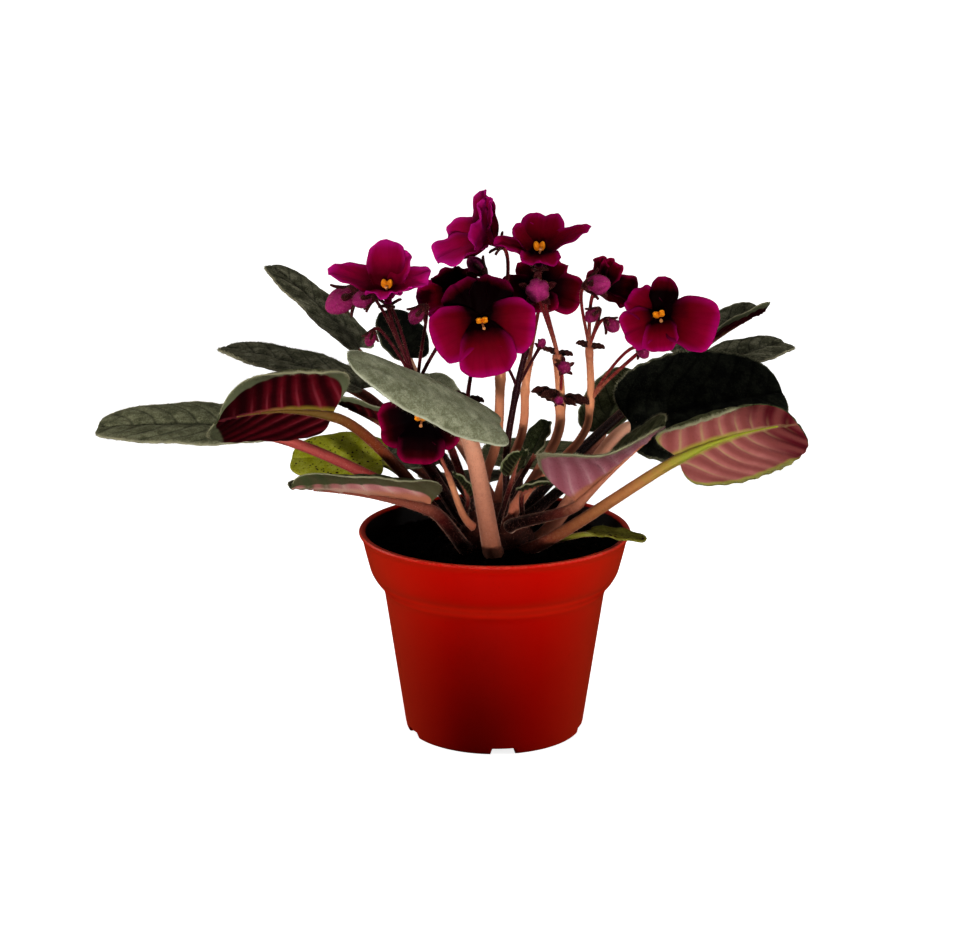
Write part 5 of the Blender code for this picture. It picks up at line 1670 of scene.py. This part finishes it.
@dataclass(frozen=True)
class Soil:
    """The damp peat: one lumpy body that fills the pot, with loose crumbs and fibres on top."""

    pot: Pot
    level: float = 0.0722
    gap: float = 0.0003
    mound: float = 0.0035  # how high it is heaped round the crown
    mound_ring: float = 0.014
    mound_width: float = 0.008
    rings: int = 80  # rows of faces on its top
    crumbs: int = 2600
    fibres: float = 0.05  # the share of the crumbs that are fibres
    fibre: Pair = (0.00022, 0.0035)  # a fibre's radius and length
    seed: int = 11

    def surface(self, x: Array, y: Array) -> Array:
        """The height of the soil's top."""
        inset = 1 - np.hypot(x, y) / self.edge()
        high = 0.0010 * np.sin(210 * x + 1.3) * np.cos(240 * y - 0.4) - 0.0006 * inset
        high += 0.0006 * np.sin(610 * x + 2.0) * np.sin(540 * y + 0.7)
        high += 0.0004 * np.sin(1400 * x + 900 * y) * np.cos(1250 * y - 800 * x + 1.0)
        mound = self.mound * np.exp(-((np.hypot(x, y) - self.mound_ring) / self.mound_width) ** 2)
        return self.level + high * np.clip(inset * 12, 0, 1) + mound

    def edge(self) -> float:
        """The soil's radius at its top."""
        (upper_in, _, upper), (lower_in, _, lower) = self.pot.band[1:3]
        wide = self.pot.rim - lower_in - self.pot.wall - self.gap - 0.0002
        return wide + (self.level - (self.pot.height - lower)) * (lower_in - upper_in) / (lower - upper)

    def body(self) -> Piece:
        """The body: its lumpy top, its wall against the pot and its floor."""
        pot, edge = self.pot, self.edge()
        bottom = pot.floor + pot.wall + self.gap
        neck = pot.wall_radius(pot.neck_height) - pot.wall - self.gap
        side = [(edge, self.level), (edge - 0.0017, pot.height - 0.0150), (neck, pot.neck_height + 0.0009),
                (pot.wall_radius(bottom) - pot.wall - self.gap, bottom), (pot.pad + 0.0024, bottom),
                (0, bottom)]
        line = np.array([(edge * i / self.rings, self.level) for i in range(self.rings)] + side)

        def shape(u: Array, t: Array) -> Shaped:
            """Turns the section, and raises and lowers its top."""
            row = np.rint(u * (len(line) - 1)).astype(int)
            spin = t * math.pi
            places = turned(line[row, 0], spin, line[row, 1])
            places[:, 2] = np.where(row < self.rings, self.surface(*places.T[:2]), places[:, 2])
            return places, {TONE: u * 0, ALONG: u * 0}

        return painted(shaped_grid("soil_body", len(line) - 1, 200, shape), SOIL_SKIN)

    def loose(self) -> Piece:
        """The loose crumbs, each a dented ball, and the fibres among them."""
        chance = np.random.default_rng(self.seed)
        points, faces = taken(added(bpy.ops.mesh.primitive_ico_sphere_add, subdivisions=1, radius=0.5))
        points *= 0.75 + 0.5 * chance.random((len(points), 1))
        reach = np.sqrt(chance.uniform(0.07, 0.985, self.crumbs)) * (self.edge() - 0.0008)
        turn = chance.uniform(0, 2 * math.pi, self.crumbs)
        x, y = reach * np.cos(turn), reach * np.sin(turn)
        size = 0.0005 + 0.0019 * chance.random(self.crumbs) ** 3
        fibre = chance.random(self.crumbs) < self.fibres
        ways = chance.normal(0, 1, (self.crumbs, 3))
        ways[fibre, 2] *= 0.12
        ways = unit(ways)
        wide, tall = (np.where(fibre, measure, size) for measure in self.fibre)
        roots = np.stack([x, y, self.surface(x, y) + 0.0001], 1) - ways * (tall / 2)[:, None]
        tones = np.where(fibre, 0.95, chance.random(self.crumbs) * 0.9)
        return painted(scattered("soil_crumbs", (points, faces), roots, ways, wide, tall, tones), SOIL_SKIN)

    def build(self) -> None:
        """Makes the soil in its node's place."""
        settle(joined("soil_fill", [self.body(), self.loose()]), "potting_soil")


LEAVES = (
    Leaf("leaf_far_left", Skin.DARK_PINK, (168, 24), (177, 0.089, 0.1177), 180, 6, -10, 0.064, 0.040,
         0.0024, lift=0.7, quilt=0.7),
    Leaf("leaf_upper_left", Skin.DARK, (118, 42), (137, 0.074, 0.141), 149, 40, 5, 0.052, 0.028, 0.0024),
    Leaf("leaf_left_back", Skin.DARK, (152, 42), (164, 0.0535, 0.132), 156, 16, -1, 0.062, 0.034, 0.0026),
    Leaf("leaf_left_front", Skin.DARK_BROWN, (198, 22), (204, 0.066, 0.1315), 199, 14, 64, 0.0435, 0.056,
         0.0024, bow=18, fold=(8, 26), curl=(-84, 0), lift=0.7, sway=-18, far_rim=0.68,
         blunt=0.1),
    Leaf("leaf_front", Skin.SILVER, (268, 10), (271.2, 0.054, 0.1335), 211, 32, -30, 0.066, 0.031, 0.0037,
         curl=(-50, -55), fold=(0, 0), join=0.25, quilt=0.3, blunt=0.1),
    Leaf("leaf_low_left", Skin.PALE, (231, 10), (231, 0.0386, 0.098), 207, 17, 0, 0.057, 0.026, 0.0029,
         fold=(64, 8), flare=(20, 0), curl=(-92, 0), bow=8, lift=0.5, far_rim=0.35),
    Leaf("leaf_yellow_left", Skin.YELLOW, (141, 10), (153, 0.050, 0.101), 175, 4, -28, 0.036, 0.029,
         0.0016, quilt=0.4),
    Leaf("leaf_right_front", Skin.ROSE, (314, 10), (-32, 0.0783, 0.1185), -26, 31, -70, 0.053, 0.040,
         0.0025, bow=26, fold=(4, 0), curl=(0, -110), sway=9, blunt=0.12, tip_rim=0.84),
    Leaf("leaf_right_folded", Skin.MAUVE, (300, 42), (-43, 0.0405, 0.0985), -19, 43, 0, 0.046, 0.055,
         0.0024, bow=0, fold=(12, 5), flare=(0, 74), curl=(0, 0)),
    Leaf("leaf_right_dark", Skin.BLACK, (5, 10), (16, 0.055, 0.118), 12, 12, 42, 0.064, 0.052, blunt=0.1),
    Leaf("leaf_upper_right", Skin.DARK, (32, 42), (45, 0.1130, 0.1312), 33, 24, 4, 0.044, 0.028, 0.0022,
         bow=8, fold=(16, 44), curl=(0, 0), lift=0.4, blunt=0.5),
    Leaf("leaf_far_right", Skin.DARK, (4, 42), (31, 0.0973, 0.1305), 27, 21, 8, 0.042, 0.027, 0.0022,
         bow=20, blunt=0.45),
    Leaf("leaf_right_back", Skin.MAUVE, (58, 42), (55, 0.0765, 0.103), 55, 44, 0, 0.034, 0.027, 0.0022,
         fold=(24, 24)),
    Leaf("leaf_yellow_right", Skin.OLD, (342, 10), (-31, 0.0423, 0.0850), -24, 2, 0, 0.0215, 0.013,
         0.0013, quilt=0.05),
    Leaf("leaf_left_inner", Skin.DARK, (187, 42), (188, 0.031, 0.115), 186, 35, 8, 0.034, 0.026, 0.0022,
         fold=(30, 20)),
    # Its black skin is painted shade: this leaf stands in shade behind the flower stalks.
    Leaf("leaf_dark_back", Skin.BLACK, (87, 42), (130, 0.0515, 0.139), 124, 52, 0, 0.023, 0.022, 0.0020,
         blunt=0),
    Leaf("leaf_back_right", Skin.MAUVE, (62, 10), (78, 0.048, 0.092), 76, 4, 0, 0.052, 0.040),
    Leaf("leaf_back", Skin.DARK, (92, 10), (101, 0.045, 0.086), 104, -4, 0, 0.046, 0.034, 0.0022),
    Leaf("leaf_back_left", Skin.DARK, (122, 10), (124, 0.050, 0.094), 132, 4, 0, 0.048, 0.036),
    Leaf("leaf_pale_back", Skin.SILVER, (106, 10), (111, 0.0557, 0.108), 110, 50, 0, 0.026, 0.022, 0.0014),
    Leaf("leaf_young_front", Skin.YOUNG, (275, 42), (-71, 0.0195, 0.106), -60, 60, 0, 0.013, 0.011, 0.0011,
         fold=(24, 24), quilt=3.5),
    Leaf("leaf_young_low", Skin.YOUNG, (325, 42), (-50, 0.0165, 0.0985), -35, 28, 0, 0.014, 0.012, 0.0011,
         fold=(20, 20), quilt=3.5),
    Leaf("leaf_young_left", Skin.YOUNG, (206, 44), (-131, 0.0150, 0.0965), 210, 60, 0, 0.011, 0.010, 0.0010,
         fold=(20, 20), quilt=3.5),
    Leaf("leaf_young_right", Skin.YOUNG, (46, 66), (38, 0.0190, 0.107), 40, 60, 0, 0.014, 0.012, 0.0011,
         fold=(24, 24), quilt=3.5),
)

BLOOMS = (
    Bloom("bloom_left_top", "stalk_left", Velvet.BRIGHT, (-0.0406, 0.004, 0.1710), -95, 66, -4, 1.0,
          Face.WINGED),
    Bloom("bloom_upper_left", "stalk_tall", Velvet.BRIGHT, (-0.0021, 0.010, 0.1904), 203, 28, 0, 1.12,
          Face.SIDEWISE),
    Bloom("bloom_top", "stalk_bracted", Velvet.DEEP, (0.0163, -0.006, 0.1868), -90, 68, 2, 1.0,
          Face.CROWNED),
    # Its black velvet is painted shade: this flower lies in the shade of the flower in front of it.
    Bloom("bloom_middle_back", "stalk_pale", Velvet.BLACK, (0.018, 0.016, 0.1708), -90, 30, 0, 0.88,
          Face.SHALLOW),
    Bloom("bloom_middle", "stalk_middle", Velvet.DEEP, (-0.0050, -0.025, 0.1660), -90, 12, 8, 1.10),
    Bloom("bloom_right", "stalk_right", Velvet.DEEP, (0.0612, -0.018, 0.1656), -108, 30, 20, 1.04,
          Face.SPREAD, 2),
    Bloom("bloom_low", "stalk_low", Velvet.BLACK, (-0.0270, -0.027, 0.1295), -98, 18, 0, 0.90,
          shade=0.22),
    Bloom("bloom_upper_right", "stalk_right", Velvet.BLACK, (0.0418, 0.012, 0.1728), 50, 15, 0, 0.70,
          Face.CUPPED),
    Bloom("bloom_back_left", "stalk_left", Velvet.DEEP, (-0.016, 0.022, 0.168), 110, 24, 0, 0.8),
)

STALKS = (
    Stalk("stalk_left", RED_SCAPE, (165, 62), ((-0.018, 0.010, 0.112), (-0.0293, 0.008, 0.1337)), 0.0016,
          (Bud((-0.0585, 0.014, 0.1665), 200, -30, 0.0050, 0.013),
           Bud((-0.0501, 0.010, 0.1677), 190, -20, 0.0036, 0.008),
           Bud((-0.0294, -0.004, 0.1641), 200, -50, 0.0030, 0.007),
           Bud((-0.0473, 0.006, 0.1533), 200, -70, 0.0022, 0.006)),
          ((2, 200, 0.006), (2, 20, 0.006))),
    Stalk("stalk_middle", RED_SCAPE, (228, 62), ((-0.0075, -0.0105, 0.112), (-0.0104, -0.012, 0.1331)),
          0.0015, bracts=((2, 165, 0.008), (2, 5, 0.007))),
    Stalk("stalk_tall", SALMON_SCAPE, (120, 62), ((0.001, 0.003, 0.115), (0.0022, 0.002, 0.1407),
                                                  (0.0038, 0.004, 0.166)), 0.0020,
          (Bud((-0.0071, 0.008, 0.1808), 160, 40, 0.0032, 0.008),)),
    Stalk("stalk_dark", DARK_SCAPE, (295, 62), ((0.0045, -0.006, 0.113), (0.0083, -0.004, 0.136),
                                                (0.0119, -0.003, 0.1515)), 0.0014,
          (Bud((0.0175, -0.003, 0.153), 300, 50, 0.0016, 0.005, 2),
           Bud((0.0030, -0.008, 0.148), 230, 50, 0.0014, 0.005, 2))),
    Stalk("stalk_pale", SALMON_SCAPE, (80, 62), ((0.0106, 0.012, 0.1148), (0.0118, 0.012, 0.1325),
                                                 (0.0133, 0.012, 0.1435)), 0.0018),
    Stalk("stalk_bracted", SALMON_SCAPE, (338, 62), ((0.023, 0.002, 0.1138), (0.025, 0.002, 0.1293),
                                                     (0.0237, 0.002, 0.1478)), 0.0021,
          (Bud((0.0158, -0.008, 0.1743), 270, 20, 0.0046, 0.009),
           Bud((0.0261, -0.006, 0.1446), 280, 30, 0.0026, 0.005, 2),
           Bud((0.0242, -0.0045, 0.1315), 270, 30, 0.0018, 0.004, 2)),
          ((2, 170, 0.0130), (2, 196, 0.0115), (2, 5, 0.0120), (2, -24, 0.0085), (3, 170, 0.0065),
           (3, 10, 0.0065))),
    Stalk("stalk_right", SALMON_SCAPE, (12, 62), ((0.0322, 0.004, 0.1134), (0.0365, 0.004, 0.1293),
                                                  (0.0358, 0.003, 0.1503)), 0.0017,
          (Bud((0.0385, -0.004, 0.1757), 330, 10, 0.0040, 0.009),
           Bud((0.0367, 0.000, 0.1633), 200, -40, 0.0026, 0.006),
           Bud((0.0439, -0.005, 0.1605), 320, -30, 0.0027, 0.006),
           Bud((0.0553, -0.010, 0.1511), 300, -20, 0.0022, 0.006, 2)),
          ((3, 180, 0.0065), (3, 10, 0.0065))),
    Stalk("stalk_low", SALMON_SCAPE, (227, 40), ((-0.018, -0.016, 0.106),), 0.0014),
)


@dataclass(frozen=True)
class Studio:
    """The pale floor, the soft lights and the camera at the photograph's place."""

    floor: str = "#F4F4F2"
    floor_clouds: str = "#FBFBFA"
    camera_place: Spot = (-0.007, -0.850, 0.3215)
    camera_tilt: float = 75.44
    lens: float = 86.39
    gamma: float = 0.86  # for the photograph's deep blacks
    # Each lamp's name, place, size, watts, the height that it looks at, and the spread of its light.
    lamps: tuple[tuple[str, Spot, Pair, float, float, float], ...] = (
        ("soft_left", (-1.2, 0.35, 0.40), (0.7, 0.7), 0.72, 0.10, 26),
        ("soft_right", (1.3, -0.10, 0.40), (0.7, 0.7), 0.60, 0.10, 26),
        ("soft_front", (-0.05, -1.1, 0.08), (0.5, 0.08), 0.26, 0.132, 13.5))

    def build_floor(self) -> None:
        """A floor of white acrylic, lit from behind, so that hardly a shadow shows on it."""
        floor = added(bpy.ops.mesh.primitive_plane_add, size=60, location=(0, 0, 0))
        floor.name = "studio_floor"
        made, tree, shader = blank_material("floor_acrylic", {
            "Roughness": 0.9, "Specular IOR Level": 0.1, "Emission Color": linear("#FFFFFF"),
            "Emission Strength": 0.85})
        place = add_node(tree, "ShaderNodeTexCoord").outputs["Object"]
        clouds = add_node(tree, "ShaderNodeTexNoise", None, {"Vector": place, "Scale": per_mm(400)})
        colour = add_node(tree, "ShaderNodeMix", {"data_type": "RGBA"},
                          {0: clouds.outputs["Fac"], 6: linear(self.floor), 7: linear(self.floor_clouds)})
        tree.links.new(colour.outputs[2], shader.inputs["Base Color"])
        floor.data.materials.append(made)
        # As with black card round the pot's foot, the floor gives the plant no light and no reflection.
        floor.visible_diffuse = floor.visible_glossy = False
        floor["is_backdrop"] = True

    def light(self, name: str, place: Spot, size: Pair, watts: float, aim: float, spread: float) -> None:
        """A soft white light that looks at the plant through a honeycomb."""
        lamp = added(bpy.ops.object.light_add, type="AREA", location=place)
        lamp.name = name
        lamp.data.shape, lamp.data.size, lamp.data.size_y = "RECTANGLE", *size
        lamp.data.energy, lamp.data.spread = watts, math.radians(spread)
        lamp.rotation_euler = (Vector((0, 0, aim)) - Vector(place)).to_track_quat("-Z", "Y").to_euler()

    def build(self) -> None:
        """Makes the floor, the lights, the camera, and a surround that is white above and dark below."""
        self.build_floor()
        for lamp in self.lamps:
            self.light(*lamp)
        sky = added(bpy.ops.object.light_add, type="SUN", location=(0, 0, 2),
                    rotation=(math.radians(-12), 0.1, 0))
        sky.name = "soft_sky"
        sky.data.energy, sky.data.angle = 0.6, math.radians(70)
        world = bpy.data.worlds.new("white_surround")
        world.use_nodes = True
        tree = world.node_tree
        place = add_node(tree, "ShaderNodeTexCoord").outputs["Generated"]
        parts = add_node(tree, "ShaderNodeSeparateXYZ", None, {"Vector": place})
        upper = add_node(tree, "ShaderNodeMapRange", None,
                         {0: parts.outputs["Z"], 1: -0.1, 2: 0.5, 3: 0.0, 4: 0.25})
        tree.links.new(upper.outputs[0], tree.nodes["Background"].inputs["Strength"])
        tree.nodes["Background"].inputs["Color"].default_value = linear("#FFFFFF")
        bpy.context.scene.world = world
        view = bpy.context.scene.view_settings
        view.view_transform, view.gamma = "Standard", self.gamma
        camera = added(bpy.ops.object.camera_add, location=self.camera_place,
                       rotation=(math.radians(self.camera_tilt), 0, 0))
        camera.name = "photo_view"
        camera.data.lens, camera.data.sensor_width = self.lens, 36
        bpy.context.scene.camera = camera


def corners() -> list[list[float]]:
    """The lowest and highest corner of what is shown."""
    return [list(corner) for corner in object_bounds()]


def main() -> None:
    """Builds every piece in order, and logs each piece's face count as it settles."""
    logging.basicConfig(level=logging.INFO, format="%(name)s: %(message)s")
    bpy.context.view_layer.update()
    Studio().build()
    pot = Pot()
    pot.build()
    Soil(pot).build()
    CROWN.build(Down(7))
    for number, leaf in enumerate(LEAVES):
        leaf.build(100 + number)
    for number, bloom in enumerate(BLOOMS):
        bloom.build(200 + number)
    for number, stalk in enumerate(STALKS):
        stalk.build(BLOOMS, 300 + number)


if __name__ == "__main__":
    main()
